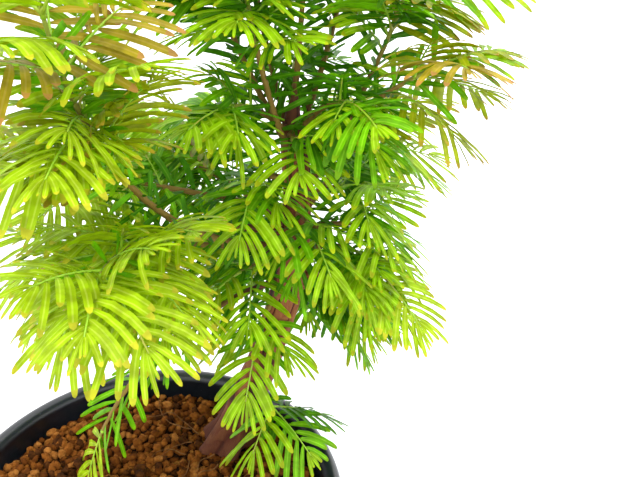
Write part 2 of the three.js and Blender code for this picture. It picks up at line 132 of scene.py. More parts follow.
# %% Mesh helpers
def unit(vectors):
    """The vectors at length 1."""
    return vectors / np.linalg.norm(vectors, axis=-1, keepdims=True)


def mix(start, end, share):
    """The value that lies at that share of the way from start to end."""
    return start + (end - start) * share


def circle(count):
    """Even turns once round, in radians."""
    return np.linspace(0, 2 * np.pi, count, endpoint=False)


def unrolled(length, count):
    """A grid over a tube: the turns, how far round they are as shares, and the lengths along it."""
    turn = circle(count)
    return turn, turn / (2 * np.pi) + 0 * length, length + 0 * turn


def swung(first, second, turn):
    """The first direction turned towards the second."""
    return first * np.cos(turn) + second * np.sin(turn)


def tube(middle, level, over, radius):
    """Rings of points at a radius, (..., rings, around), from a middle line, (..., rings, 3). level and
    over are the directions across it."""
    out = swung(level[..., None, :], over[..., None, :], circle(radius.shape[-1])[:, None])
    return middle[..., None, :] + radius[..., None] * out


def tube_faces(points):
    """Quads between neighbouring rings and the two end faces, for the points of one tube or of many,
    (tubes, rings, around, 3). Quads face outwards where the rings run forwards and anticlockwise."""
    rings, around = points.shape[-3:-1]
    here = np.arange(rings * around).reshape(rings, around)
    following = np.roll(here, -1, axis=1)
    sides = np.stack([here[:-1], following[:-1], following[1:], here[1:]], -1).reshape(-1, 4)
    ends = np.stack([here[0, ::-1], here[-1]])
    first = np.arange(0, points[..., 0].size, rings * around)[:, None, None]
    return [(faces + first).reshape(-1, faces.shape[1]) for faces in (sides, ends)]


def make_piece(name, points, materials, groups=None, slots=None, values=None):
    """A mesh object from points in millimetres. groups are arrays of faces with equally many corners,
    and stand for tubes if left out. slots gives the material number of every face, and values named
    numbers for every point."""
    groups = tube_faces(points) if groups is None else groups
    mesh = bpy.data.meshes.new(name)
    places = np.asarray(points, dtype=np.float64).ravel() * MM
    corners = np.concatenate([group.ravel() for group in groups])
    sizes = np.concatenate([np.full(len(group), group.shape[1]) for group in groups])
    starts = np.concatenate([[0], np.cumsum(sizes)[:-1]])
    mesh.vertices.add(len(places) // 3)
    mesh.vertices.foreach_set("co", places)
    mesh.loops.add(len(corners))
    mesh.loops.foreach_set("vertex_index", corners.astype(np.int32))
    mesh.polygons.add(len(sizes))
    mesh.polygons.foreach_set("loop_start", starts.astype(np.int32))
    mesh.polygons.foreach_set("use_smooth", np.full(len(sizes), True))
    for material in materials:
        mesh.materials.append(material)
    if slots is not None:
        mesh.polygons.foreach_set("material_index", np.asarray(slots, dtype=np.int32))
    for key, numbers in (values or {}).items():
        attribute = mesh.attributes.new(key, "FLOAT", "POINT")
        attribute.data.foreach_set("value", np.asarray(numbers, dtype=np.float32).ravel())
    mesh.update(calc_edges=True)
    thing = bpy.data.objects.new(name, mesh)
    scene.collection.objects.link(thing)
    print(f"{name}: {int((sizes - 2).sum()):,} triangles")
    return thing


# %% Chance and grain
def fraction(numbers):
    """What is left of the numbers after the point."""
    return numbers - np.floor(numbers)


def chance(limb, spray, draw):
    """A repeatable number from 0 to 1 for one draw about one spray of one limb."""
    return fraction(np.sin(12.9898 * limb + 78.233 * spray + 37.719 * draw) * 43758.5453)


def shaken(width, *draw):
    """Chance about 0, over that width."""
    return width * (chance(*draw) - 0.5)


def between(low, high, *draw):
    """Chance from low to high."""
    return mix(low, high, chance(*draw))


def grain(around, length, seed, columns):
    """Smooth noise from 0 to 1 on a surface that closes round: a random number at each crossing of a
    grid, eased between them. around runs from 0 to 1 over that many columns, length counts rows."""
    x, y = around * columns, length
    i, j = np.floor(x), np.floor(y)
    s, t = x - i, y - j
    s, t = s * s * (3 - 2 * s), t * t * (3 - 2 * t)
    near = mix(chance(i % columns, j, seed), chance((i + 1) % columns, j, seed), s)
    far = mix(chance(i % columns, j + 1, seed), chance((i + 1) % columns, j + 1, seed), s)
    return mix(near, far, t)


# %% [markdown]
# ## Tools for finishes
#
# A material is a small sum: some noise, mixed with some colours, and fed into a shader. Written as
# nodes by hand that is long and hard to read, so a socket is wrapped in a class that knows plus,
# minus and times. Then `0.4 + 0.2 * noise` adds the Math nodes by itself.

# %% Finishes as expressions
def tint(red, green, blue):
    """A colour given as on a screen, 0 to 255, as the linear numbers that shaders use."""
    screen = np.array([red, green, blue]) / 255
    linear = np.where(screen <= 0.04045, screen / 12.92, ((screen + 0.055) / 1.055) ** 2.4)
    return (*linear, 1.0)


class Socket:
    """An output of a shader node that can be used in sums."""

    def __init__(self, finish, output):
        self.finish = finish
        self.output = output

    def maths(self, operation, first, second):
        return self.finish.node("Math", {"operation": operation}, {0: first, 1: second})

    def __add__(self, other):
        return self.maths("ADD", self, other)

    def __rsub__(self, other):
        return self.maths("SUBTRACT", other, self)

    def __mul__(self, other):
        return self.maths("MULTIPLY", self, other)

    def __pow__(self, other):
        return self.maths("POWER", self, other)

    __radd__ = __add__
    __rmul__ = __mul__


class Finish:
    """A material under construction."""

    def __init__(self, name):
        self.material = bpy.data.materials.new(name)
        self.material.use_nodes = True
        self.tree = self.material.node_tree
        self.tree.nodes.clear()

    def node(self, kind, settings=None, sockets=None, out=0):
        """Adds a node of that kind. Settings come first, then its sockets get values or links."""
        made = self.tree.nodes.new("ShaderNode" + kind)
        for key, value in (settings or {}).items():
            setattr(made, key, value)
        for key, value in (sockets or {}).items():
            target = self.find(made.inputs, key)
            if isinstance(value, Socket):
                self.tree.links.new(value.output, target)
            else:
                target.default_value = value
        return Socket(self, self.find(made.outputs, out)) if made.outputs else None

    @staticmethod
    def find(sockets, key):
        """A socket by its number, its name or its identifier."""
        if isinstance(key, int):
            return sockets[key]
        return next(s for s in sockets if key in (s.identifier, s.name))

    def place(self):
        return self.node("TexCoord", out="Object")

    def axis(self, letter):
        """One part of the place: X, Y or Z."""
        return self.node("SeparateXYZ", None, {0: self.place()}, out=letter)

    def kept(self, name):
        """The number of that name that is kept on the points."""
        return self.node("Attribute", {"attribute_name": name}, out="Fac")

    def noise(self, scale, detail=3.0, roughness=0.5, vector=None):
        """Cloudy noise from 0 to 1. The scale counts lumps in a metre."""
        sockets = {"Vector": vector or self.place(), "Scale": scale, "Detail": detail,
                   "Roughness": roughness}
        return self.node("TexNoise", None, sockets, out="Fac")

    def steps(self, value, low, high):
        """0 below low, 1 above high, and eased between."""
        settings = {"interpolation_type": "SMOOTHSTEP"}
        sockets = {"Value": value, "From Min": low, "From Max": high}
        return self.node("MapRange", settings, sockets, out="Result")

    def blend(self, share, first, second):
        """Two colours mixed, each a socket or a screen colour."""
        first, second = (tint(*side) if isinstance(side, tuple) else side for side in (first, second))
        sockets = {"Factor_Float": share, "A_Color": first, "B_Color": second}
        return self.node("Mix", {"data_type": "RGBA"}, sockets, out="Result_Color")

    def bump(self, height, depth):
        """A normal from a height of 0 to 1 that stands for depth in metres."""
        return self.node("Bump", None, {"Height": height, "Distance": depth, "Strength": 1.0})

    def skin(self, colour, roughness, normal=None, specular=0.5):
        """The opaque shader that all the surfaces share."""
        sockets = {"Base Color": colour, "Roughness": roughness, "Specular IOR Level": specular}
        return self.node("BsdfPrincipled", None, {**sockets, **({"Normal": normal} if normal else {})})

    def coat(self, shader):
        """Ends the material with that shader."""
        self.node("OutputMaterial", None, {"Surface": shader})
        return self.material


# %% Floor
FLOOR_HALF = 3000.0
FLOOR_TINT = (226, 226, 228)

floor_finish = Finish("pale_floor")
floor_material = floor_finish.coat(floor_finish.skin(tint(*FLOOR_TINT), 0.7))
floor_points = np.array([[-1, -1, 0], [1, -1, 0], [1, 1, 0], [-1, 1, 0]]) * FLOOR_HALF
floor = make_piece("floor", floor_points, [floor_material], [np.array([[0, 1, 2, 3]])])

# %% [markdown]
# ## The plant's named sizes
#
# A plant is a rule and a few numbers. These are the same numbers as in the solids that stand below
# the finish: where the trunk stands and how it leans, how every limb leaves it, and how a spray is
# set on its stem. Angles are degrees and lengths are millimetres.

# %% Named sizes
SOIL_LEVEL = 55.0
SOIL_DIP = 1.2
SOIL_LUMP = 2.4
LUMPS_APART = 14.0
POT_HEIGHT = 62.0

TRUNK_FOOT = np.array([25.0, 34.0])
TRUNK_HEIGHT = 131.0
TRUNK_LEAN = 29.0
TRUNK_SWEEP = 109.0
TRUNK_DRIFT = 2.0
FOOT_RADIUS = 6.9
FORK_RADIUS = 3.9
FLARE = 3.2
FLARE_HEIGHT = 8.0
ROOTS = 5
ROOT_DEPTH = 0.16

BOUGH_TIP_RADIUS = 1.0
STEM_BASE_RADIUS = 1.15
STEM_TIP_RADIUS = 0.75
PATH_STEPS = 24

SPRAY_LENGTH = 42.0
SPRAY_BASE = 66.0
SPRAY_TIP = 42.0
SPRAY_TURN = 120.0
DROOP = 0.24
CURL = 0.012
CLEAR_OF_BOUGH = 4.0
NEEDLE_REACH = 15.0
TIP_REACH = 5.0
CORE_HALF_WIDTH = 3.0
ROOT_HALF_WIDTH = 0.9

CLEAR_SPACE = 0.5
CLEAR_LIMB = 1.1
CLEAR_SOIL = 3.0
CLEAR_RIM = 2.6
RIM_ZONE = 58.0

Limb = namedtuple(
    "Limb", "name height bearing turn rise lift reach bare radius pairs size ending spin flat")
LIMBS = [
    Limb("leader_middle", 131, 50, 0, 80, 6, 84, 0.12, 1.9, 5, 0.72, 30, 0, 1),
    Limb("leader_right", 104, 0, 2, 58, 16, 90, 0.26, 1.7, 5, 0.8, 30, 30, 1),
    Limb("leader_back_right", 124, 52, 10, 52, 28, 92, 0.16, 1.6, 5, 0.85, 30, 30, 1),
    Limb("leader_back_left", 119, 122, -6, 56, 24, 94, 0.18, 1.8, 5, 0.85, 30, 0, 1),
    Limb("leader_front_left", 115, 234, 12, 61, 22, 89, 0.18, 1.6, 5, 0.55, 28, 0, 1),
    Limb("leader_left", 119, 170, 3, 60, 18, 92, 0.18, 1.6, 5, 0.75, 28, 0, 1),
    Limb("twig_fork_left", 124, 200, 40, 62, -50, 32, 0.36, 1.3, 2, 0.5, 20, 0, 0.8),
    Limb("twig_fork_right", 126, 341, -50, 62, -50, 31, 0.36, 1.3, 2, 0.5, 20, 0, 0.8),
    Limb("twig_fork_back", 125, 98, -11, 62, -37, 26, 0.36, 1.3, 2, 0.55, 20, 0, 0.8),
    Limb("twig_right_high", 117, 346, -3, 50, -20, 58, 0.42, 1.3, 2, 0.66, 18, 0, 0.6),
    Limb("bough_right_high", 101, 15, -48, 56, -65, 24, 0.36, 1.4, 2, 0.6, 30, 0, 0.8),
    Limb("bough_right", 92, 0, -10, 30, -45, 27, 0.36, 1.5, 2, 0.6, 24, 0, 0.8),
    Limb("bough_right_low", 82, 40, -86, 24, -44, 29, 0.38, 1.4, 2, 0.58, 26, 0, 0.6),
    Limb("bough_back_right_low", 62, 96, -98, -4, -16, 44, 0.38, 1.5, 3, 0.7, 28, 0, 0.6),
    Limb("bough_front_high", 126, 262, 16, 38, -36, 15, 0.55, 1.3, 1, 0.5, 17, 0, 0.6),
    Limb("bough_front_side", 110, 190, 72, 40, -44, 22, 0.4, 1.4, 1, 0.62, 22, 0, 0.6),
    Limb("bough_front", 101, 284, 8, 20, -32, 11, 0.62, 1.4, 1, 0.55, 20, 0, 0.6),
    Limb("bough_front_low", 80, 202, 21, 30, -39, 21, 0.4, 1.4, 1, 0.6, 20, 0, 0.7),
    Limb("twig_front", 72, 196, 62, -44, 16, 18, 0.55, 1.2, 1, 0.36, 23, 0, 0.5),
    Limb("twig_right_low", 26, 312, 4, 2, -18, 12, 0.7, 1.2, 1, 0.5, 30, 0, 0.5),
    Limb("bough_front_left_high", 88, 220, 26, 16, 68, 130, 0.42, 1.8, 5, 0.9, 30, 0, 1),
    Limb("bough_front_left", 92, 200, 75, 23, -10, 94, 0.48, 1.7, 3, 0.7, 26, 0, 0.45),
    Limb("bough_left", 100, 197, -19, 21, -11, 78, 0.32, 1.6, 3, 0.95, 30, 0, 0.7),
    Limb("bough_left_low", 84, 193, 2, 21, -27, 72, 0.36, 1.6, 3, 0.8, 28, 0, 0.5),
    Limb("shoot_left", 75, 201, 9, -3, -59, 88, 0.66, 1.3, 0, 0.4, 26, 0, 0.6),
    Limb("bough_back_right", 97, 58, -4, 22, -10, 52, 0.34, 1.6, 3, 0.9, 27, 0, 0.8),
    Limb("bough_back_left", 94, 142, 8, 18, -8, 66, 0.34, 1.6, 3, 0.95, 30, 0, 0.8),
    Limb("bough_back_low", 66, 104, 16, 6, -12, 56, 0.34, 1.5, 3, 0.95, 30, 0, 0.7),
]
print("limbs:", len(LIMBS))

# %% [markdown]
# ## Where the limbs run
#
# A limb starts on the trunk's middle line and takes many short straight steps, each on a heading that
# turns and lifts a little further. Adding the steps up gives its path. The same paths are in the
# frame's solids, so the fine bark and the needles land exactly where those are.

# %% Trunk and limb paths
ACROSS, INTO, UP = np.eye(3)
NEARLY_UP = np.array([0.02, 0.05, 1.0])


def heading(bearing, rise):
    """Unit vectors at a bearing round from +X and a rise above the level."""
    bearing, rise = np.radians(bearing), np.radians(rise)
    return np.stack([np.cos(rise) * np.cos(bearing), np.cos(rise) * np.sin(bearing), np.sin(rise)], -1)


def trunk_point(share):
    """The trunk's middle: it leans to +X as a sine of the height and drifts evenly to +Y."""
    share = np.asarray(share, dtype=float)
    x = TRUNK_FOOT[0] + TRUNK_LEAN * np.sin(np.radians(TRUNK_SWEEP * share))
    y = TRUNK_FOOT[1] + TRUNK_DRIFT * share
    return np.stack([x, y, SOIL_LEVEL + TRUNK_HEIGHT * share], -1)


def trunk_radius(share):
    """An even taper, with a flare that dies out quickly above the soil."""
    flare = FLARE * np.exp(-TRUNK_HEIGHT * share / FLARE_HEIGHT)
    return mix(FOOT_RADIUS, FORK_RADIUS, share) + flare


def limb_path(limb):
    """The running sum of equal steps, each on the heading of its own middle."""
    share = (np.arange(PATH_STEPS) + 0.5) / PATH_STEPS
    steps = heading(limb.bearing + limb.turn * share, limb.rise + limb.lift * share)
    start = trunk_point(limb.height / TRUNK_HEIGHT)
    return np.vstack([start, start + np.cumsum(steps, axis=0) * limb.reach / PATH_STEPS])


PATHS = [limb_path(limb) for limb in LIMBS]


def along(index, share):
    """Points at shares of a limb's reach, straight between the points of its path."""
    place = np.clip(share, 0, 1) * PATH_STEPS
    steps = np.arange(PATH_STEPS + 1)
    return np.stack([np.interp(place, steps, column) for column in PATHS[index].T], -1)


def direction(limb, share):
    return heading(limb.bearing + limb.turn * share, limb.rise + limb.lift * share)


def sides_of(forward):
    """Two unit vectors across forward: a level one, and the one above it."""
    level = unit(np.cross(NEARLY_UP, forward))
    return level, np.cross(forward, level)


def limb_radius(limb, share):
    """The bough's taper up to the bare share, then the stem's."""
    bough = mix(limb.radius, BOUGH_TIP_RADIUS, share / limb.bare)
    stem = mix(STEM_BASE_RADIUS, STEM_TIP_RADIUS, (share - limb.bare) / (1 - limb.bare))
    return np.where(share <= limb.bare, bough, stem)


def mass_middle(index, limb):
    """Halfway along a mass, whose length is its stem and the spray that ends it."""
    reached = mix(limb.bare * limb.reach, limb.reach + limb.ending, 0.5)
    beyond = max(0, reached - limb.reach)
    return along(index, reached / limb.reach) + beyond * direction(limb, 1)


MIDDLES = np.stack([mass_middle(i, limb) for i, limb in enumerate(LIMBS)])
print("limb ends reach up to", round(max(path[-1, 2] for path in PATHS)), "mm")

# %% [markdown]
# ## The room that each mass of foliage has
#
# Every point of the crown belongs to the mass whose middle is nearest. A needle that would cross into
# a neighbour's space, the soil, the pot or a limb is cut back or left out, as a shoot in its
# neighbour's shade stays short or dies. Balls threaded on the paths stand for the limbs, because the
# distance to a ball is one sum.

# %% Room test
BALL_STEP = 2.0


def limb_balls():
    """Centres, radii, owners and bareness of the balls along the trunk and all the limbs."""
    share = np.arange(0, TRUNK_HEIGHT + 0.01, BALL_STEP) / TRUNK_HEIGHT
    centres, radii = [trunk_point(share)], [trunk_radius(share)]
    owners, leafy = [np.full(len(share), -1)], [np.zeros(len(share), bool)]
    for index, limb in enumerate(LIMBS):
        share = np.arange(0, limb.reach + 0.01, BALL_STEP) / limb.reach
        centres.append(along(index, share))
        radii.append(limb_radius(limb, share))
        owners.append(np.full(len(share), index))
        leafy.append(share > limb.bare)
    return np.vstack(centres), np.concatenate(radii), np.concatenate(owners), np.concatenate(leafy)


BALLS, BALL_RADII, BALL_OWNERS, BALL_LEAFY = limb_balls()
BETWEEN = np.linalg.norm(MIDDLES[:, None] - MIDDLES[None], axis=-1)


def squared_distances(points, centres):
    """The square of every distance, by |p|^2 + |c|^2 - 2 p.c."""
    return (points ** 2).sum(1)[:, None] + (centres ** 2).sum(1)[None] - 2 * points @ centres.T


def in_own_space(points, owner, overlap):
    """True above the soil and the rim, and nearer to the owner's middle than to any other. Needles
    may overlap the neighbour's space a little, as those of neighbouring sprays do."""
    level = np.hypot(points[:, 0], points[:, 1])
    free = points[:, 2] >= SOIL_LEVEL + CLEAR_SOIL
    free &= ~((level > RIM_ZONE) & (points[:, 2] < POT_HEIGHT + CLEAR_RIM))
    squares = squared_distances(points, MIDDLES)
    own = np.take_along_axis(squares, owner[:, None], 1)
    apart = 2 * BETWEEN[owner]
    mine = np.arange(len(LIMBS))[None] == owner[:, None]
    margin = (squares - own) / np.where(mine, 1, apart)
    return free & (mine | (margin > CLEAR_SPACE - overlap)).all(1)


def clear_of_limbs(points, owner):
    """True outside every ball, apart from those on the owner's own leafy stem."""
    clear = squared_distances(points, BALLS) > (BALL_RADII + CLEAR_LIMB) ** 2
    exempt = (BALL_OWNERS[None] == owner[:, None]) & BALL_LEAFY[None]
    return (clear | exempt).all(1)


def fits(points, owner, overlap=0):
    """Tests groups of points (groups, points, 3), each group with one owner, a few at a time."""
    groups, each = points.shape[:2]
    flat, owners = points.reshape(-1, 3), np.repeat(owner, each)
    good = np.zeros(len(flat), bool)
    for part in np.array_split(np.arange(len(flat)), max(1, len(flat) // 8000)):
        good[part] = in_own_space(flat[part], owners[part], overlap)
        good[part] &= clear_of_limbs(flat[part], owners[part])
    return good.reshape(groups, each).all(1)


# %% [markdown]
# ## Sprays
#
# A dawn redwood drops its feathery side shoots whole in autumn. Each one is a spray: a thin green
# rachis with two ranks of needles. Sprays stand in pairs on the stem, every pair a third of a turn
# further round, long near the foot and short near the tip.
#
# The frame's solids carry every second pair only. Here the places in between are filled as well, and
# short shoots and single needles fill the stem between them.

# %% Growing the sprays
BETWEEN_PLACES = 2
PLACE_START = 0.3
SHADY_HEIGHT = 82.0
TIP_PLACE = 0.97
SPRAY_SHORTENS = 0.72
SHOOTS_EACH = 4
SHOOT_PLACES = 6
SHOOT_TURN = 137.5
SHOOT_OPENINGS = (38, 66)
SHOOT_LENGTHS = (13, 20)
LENGTH_SHARES = (0.85, 1.15)
SPIN_SHAKE, OPENING_SHAKE, ROLL_SHAKE = 30, 16, 50
STEM_LENGTH = 12.0
FIRST_PAIR = 6.0
STEM_PAIR_STEP = 3.2
STEM_END = 0.95


def leaving(limb, progress, spin, opening, flat=1):
    """Where side shoots stand, as shares of the limb, and their headings: spun round the stem by one
    angle and opened from it by the other."""
    share = mix(limb.bare + CLEAR_OF_BOUGH / limb.reach, 1, progress)
    onward = direction(limb, share)
    level, over = sides_of(onward)
    side = unit(swung(level, over * flat, np.radians(spin)[:, None]))
    return share, swung(onward, side, np.radians(opening)[:, None])


def pair_sprays(index, limb):
    """The paired sprays of one limb, at halves of a place, as columns of numbers. The lowest twigs have
    whole places only, because little light reaches them."""
    parts = 1 if limb.pairs == 1 and limb.height < SHADY_HEIGHT else BETWEEN_PLACES
    place = np.repeat(np.arange(parts * limb.pairs) / parts, 2)
    hand = np.tile([0, 1], parts * limb.pairs)
    number = 2 * np.round(3 * place) + hand
    progress = (place + PLACE_START) / limb.pairs
    spin = limb.spin + SPRAY_TURN * place + 180 * hand + shaken(SPIN_SHAKE, index, number, 0)
    opening = mix(SPRAY_BASE, SPRAY_TIP, progress) + shaken(OPENING_SHAKE, index, number, 1)
    share, forward = leaving(limb, progress, spin, opening, limb.flat)
    length = SPRAY_LENGTH * limb.size * mix(1, SPRAY_SHORTENS, progress)
    length = length * between(*LENGTH_SHARES, index, number, 2)
    roll = np.radians(shaken(ROLL_SHAKE, index, number, 3))
    return dict(share=share, forward=forward, length=length, roll=roll, number=number)


def tip_spray(index, limb):
    """The spray that ends a limb."""
    one = np.ones(1)
    return dict(share=TIP_PLACE * one, forward=direction(limb, one), length=limb.ending * one,
                roll=np.radians(shaken(40, index, 0, 4)) * one, number=-one)


def short_shoots(index, limb):
    """The short shoots on the lower part of a long limb, each most of a half turn further round."""
    order = np.arange(SHOOTS_EACH * limb.pairs if limb.pairs > 2 else 0)
    number = 100.0 + order
    progress = ((order - 2) / SHOOT_PLACES + PLACE_START) / max(limb.pairs, 1)
    opening = between(*SHOOT_OPENINGS, index, number, 1)
    share, forward = leaving(limb, progress, limb.spin + SHOOT_TURN * order, opening)
    return dict(share=share, forward=forward, length=between(*SHOOT_LENGTHS, index, number, 2),
                roll=np.radians(shaken(60, index, number, 3)), number=number)


def stem_pairs(index, limb):
    """The single pairs of needles that stand on the stem itself, each a quarter turn further round.
    They are written as very short sprays that point along the stem."""
    reached = np.arange(FIRST_PAIR, STEM_END * limb.reach, STEM_PAIR_STEP)
    order = np.arange(len(reached))
    number = 200.0 + order
    share = reached / limb.reach
    return dict(share=share, forward=direction(limb, share), length=np.full(len(reached), STEM_LENGTH),
                roll=np.radians(90 * order + shaken(40, index, number, 0)), number=number)


def gather(grow):
    """One table of the sprays that grow() gives for every limb."""
    rows = [grow(index, limb) for index, limb in enumerate(LIMBS)]
    table = {key: np.concatenate([row[key] for row in rows]) for key in rows[0]}
    table["limb"] = np.concatenate([np.full(len(row["share"]), i) for i, row in enumerate(rows)])
    table["root"] = np.concatenate([along(i, row["share"]) for i, row in enumerate(rows)])
    table["side"] = swung(*sides_of(table["forward"]), table["roll"][:, None])
    table["normal"] = np.cross(table["forward"], table["side"])
    return table


def chosen(table, keep):
    """The rows of a table that keep names, by number or by truth."""
    return {key: column[keep] for key, column in table.items()}


def joined(*tables):
    return {key: np.concatenate([table[key] for table in tables]) for key in tables[0]}


def spray_points(sprays, x, y, z):
    """Points of sprays, one row of x, y and z for each: x runs along the rachis, y out to the side and
    z through the thickness. Everything sags with the square of its distance."""
    rest = (slice(None),) + (None,) * (x.ndim - 1)
    length = sprays["length"][rest]
    sag = DROOP * x * np.abs(x) / length + CURL * y * y
    axes = [sprays[key][rest] for key in ("forward", "side", "normal")]
    moved = axes[0] * x[..., None] + axes[1] * y[..., None] + axes[2] * z[..., None]
    return sprays["root"][rest] + moved - UP * sag[..., None]


# %% Fitting the sprays into their room
CORE_SHARES = np.array([0.18, 0.32, 0.46, 0.6, 0.75, 0.9])
CORE_CUTS = (1, 0.85, 0.7, 0.55)


def core_half_width(share):
    """Narrow at the root and the tip, and widest before the middle."""
    swell = np.sin(np.pi * np.minimum(1, 0.15 + share) ** 0.8)
    return mix(ROOT_HALF_WIDTH, CORE_HALF_WIDTH, np.maximum(swell, 0))


def fit_cores(sprays):
    """Each spray at the longest of a few lengths whose core fits, or left out."""
    length = np.zeros(len(sprays["length"]))
    for cut in CORE_CUTS:
        trial = dict(sprays, length=sprays["length"] * cut)
        whole = trial["length"][:, None]
        share = np.hstack([np.tile(CORE_SHARES, (len(whole), 1)), 1 + TIP_REACH / whole])
        x = np.repeat(share * whole, 3, axis=1)
        y = np.repeat(core_half_width(share), 3, axis=1) * np.tile([-1, 0, 1], share.shape[1])
        good = fits(spray_points(trial, x, y, np.zeros_like(x)), trial["limb"])
        length = np.where((length == 0) & good, trial["length"], length)
    return chosen(dict(sprays, length=length), length > 0)


main_sprays = fit_cores(joined(gather(tip_spray), gather(pair_sprays), gather(short_shoots)))
stem_sprays = gather(stem_pairs)
print("sprays:", len(main_sprays["share"]), "and stem pairs:", len(stem_sprays["share"]))

# %% [markdown]
# ## Needles
#
# A needle is a soft flat strap, some 16 mm long and 2.2 mm wide, narrow at its foot and rounded at
# its tip, with a groove down the middle that is paler, partly in its own colour and partly as a
# painted highlight along it. It leaves the rachis at a wide angle near the root of the spray and at
# a narrow one near the tip, bends forwards along its length, and arches down.
#
# It could be a flat card, but a card has no edge to catch the light. So it is a thin closed body:
# five points round its section, seven sections long.

# %% Needle layout
NEEDLE_PITCH = 2.85
NEEDLE_MARGIN = 1.2  # the pitches that the root and the tip of a spray take
FIRST_NEEDLE, HAND_LAG, FOOT_SHAKE = 0.9, 0.35, 0.25  # in pitches; one rank lags behind the other
SWELL = (0.66, 1.5, 1.6)  # a spray is widest before its middle
SIZE_COUNTS = 0.4  # how much of its limb's size a needle takes on
ANGLE_ROOT, ANGLE_TIP, ANGLE_SHAKE = 82, 37, 9
NEEDLE_LENGTHS, NEEDLE_WIDTHS = (0.9, 1.08), (0.92, 1.06)
NARROW_FROM, NARROW_OVER, NARROW_TO = 0.55, 0.45, 0.76  # needles are narrower towards a spray's tip
FAN_SHAKE, FAN_LENGTHS = 8, (0.8, 1.15)
STEM_ANGLES, STEM_LENGTHS, STEM_WIDTHS, STEM_SHARE = (42, 68), (10, 16.5), (0.66, 0.9), 0.3
RANK_KEY, STEM_KEY, FAN_KEY = 500, 700, 900  # keep the draws of the three kinds apart
NEEDLE_OVERLAP = 8.0
STEM_OVERLAP = 40.0
REACH_PAST = 5.0  # how far a needle may go past the box that the solids fill
NEEDLE_EXTRA = 3.8  # the part of a needle beside the core, on top of the reach that the solids have
TIP_FAN = np.array([  # the young needles that close the tip: angle, length, foot's share, width share
    [-32, 9.6, 0.93, 0.66],
    [28, 10.0, 0.945, 0.66],
    [-19, 8.2, 0.965, 0.5],
    [15, 7.6, 0.98, 0.48],
    [-4, 5.6, 1.0, 0.36],
])


def rank_needles(sprays):
    """The two ranks of each spray: foot, angle, length and width of every needle, with the row of its
    spray."""
    count = np.maximum(3, np.round(sprays["length"] / NEEDLE_PITCH - NEEDLE_MARGIN).astype(int))
    row = np.repeat(np.arange(len(count)), 2 * count)
    start = np.repeat(np.cumsum(2 * count) - 2 * count, 2 * count)
    order = np.arange(len(row)) - start
    hand = np.where(order % 2 == 0, 1.0, -1.0)
    each = sprays["length"][row] / (count[row] + NEEDLE_MARGIN)
    key = RANK_KEY + order
    lag = HAND_LAG * (hand > 0) + shaken(FOOT_SHAKE, row, key, 1)
    foot = each * (order // 2 + FIRST_NEEDLE + lag)
    share = foot / sprays["length"][row]
    swell = np.minimum(1, SWELL[0] + SWELL[1] * share - SWELL[2] * share * share)
    size = np.array([limb.size for limb in LIMBS])[sprays["limb"][row]]
    length = NEEDLE_REACH * mix(1, size, SIZE_COUNTS) * swell + NEEDLE_EXTRA * swell
    length = length * between(*NEEDLE_LENGTHS, row, key, 2)
    angle = mix(ANGLE_ROOT, ANGLE_TIP, share) + shaken(ANGLE_SHAKE, row, key, 3)
    narrow = mix(1, NARROW_TO, np.maximum(share - NARROW_FROM, 0) / NARROW_OVER)
    width = between(*NEEDLE_WIDTHS, row, key, 4) * narrow
    return dict(row=row, foot=foot, hand=hand, angle=angle, length=length, width=width, share=share)


def fan_needles(sprays):
    """The young needles at the tips of the sprays."""
    rows, fan = len(sprays["length"]), len(TIP_FAN)
    row = np.repeat(np.arange(rows), fan)
    angle, length, at, width = np.tile(TIP_FAN, (rows, 1)).T
    key = FAN_KEY + np.tile(np.arange(fan), rows)
    angle = angle + shaken(FAN_SHAKE, row, key, 1)
    length = length * between(*FAN_LENGTHS, row, key, 2)
    hand = np.where(angle < 0, -1.0, 1.0)
    return dict(row=row, foot=at * sprays["length"][row], hand=hand, angle=np.abs(angle), length=length,
                width=width, share=np.ones(len(row)))


def stem_needles(sprays):
    """One opposite pair for each place on a stem."""
    rows = len(sprays["length"])
    row = np.repeat(np.arange(rows), 2)
    hand = np.tile([1.0, -1.0], rows)
    key = STEM_KEY + np.arange(2 * rows) % 2
    ranges = STEM_ANGLES, STEM_LENGTHS, STEM_WIDTHS
    angle, length, width = (between(*ends, row, key, 1 + k) for k, ends in enumerate(ranges))
    return dict(row=row, foot=np.zeros(2 * rows), hand=hand, angle=angle, length=length, width=width,
                share=np.full(2 * rows, STEM_SHARE))


# %% Needle shape
STATIONS = np.array([0, 0.1, 0.34, 0.66, 0.9, 0.972, 1.0])
HALF_WIDTHS = 1.12 * np.array([0.3, 0.64, 0.96, 1.0, 0.9, 0.64, 0.26])
SECTION = np.array([  # across and up, as shares of the half width and of the thickness
    [1.0, 0.35],
    [0.2, 0.12],
    [-0.2, 0.12],
    [-1.0, 0.35],
    [0.0, -0.62],
])
THICKNESS = 0.42
BEND_FORWARD, BEND_ABOUT = 13.0, 0.3
FOOT_OFF = 0.175  # from the rachis' middle
TWIST, SINKS, LIFTS = 36, (0.0, 0.02), (-0.05, 0.22)
NEEDLE_CUTS = (1, 0.78, 0.56)


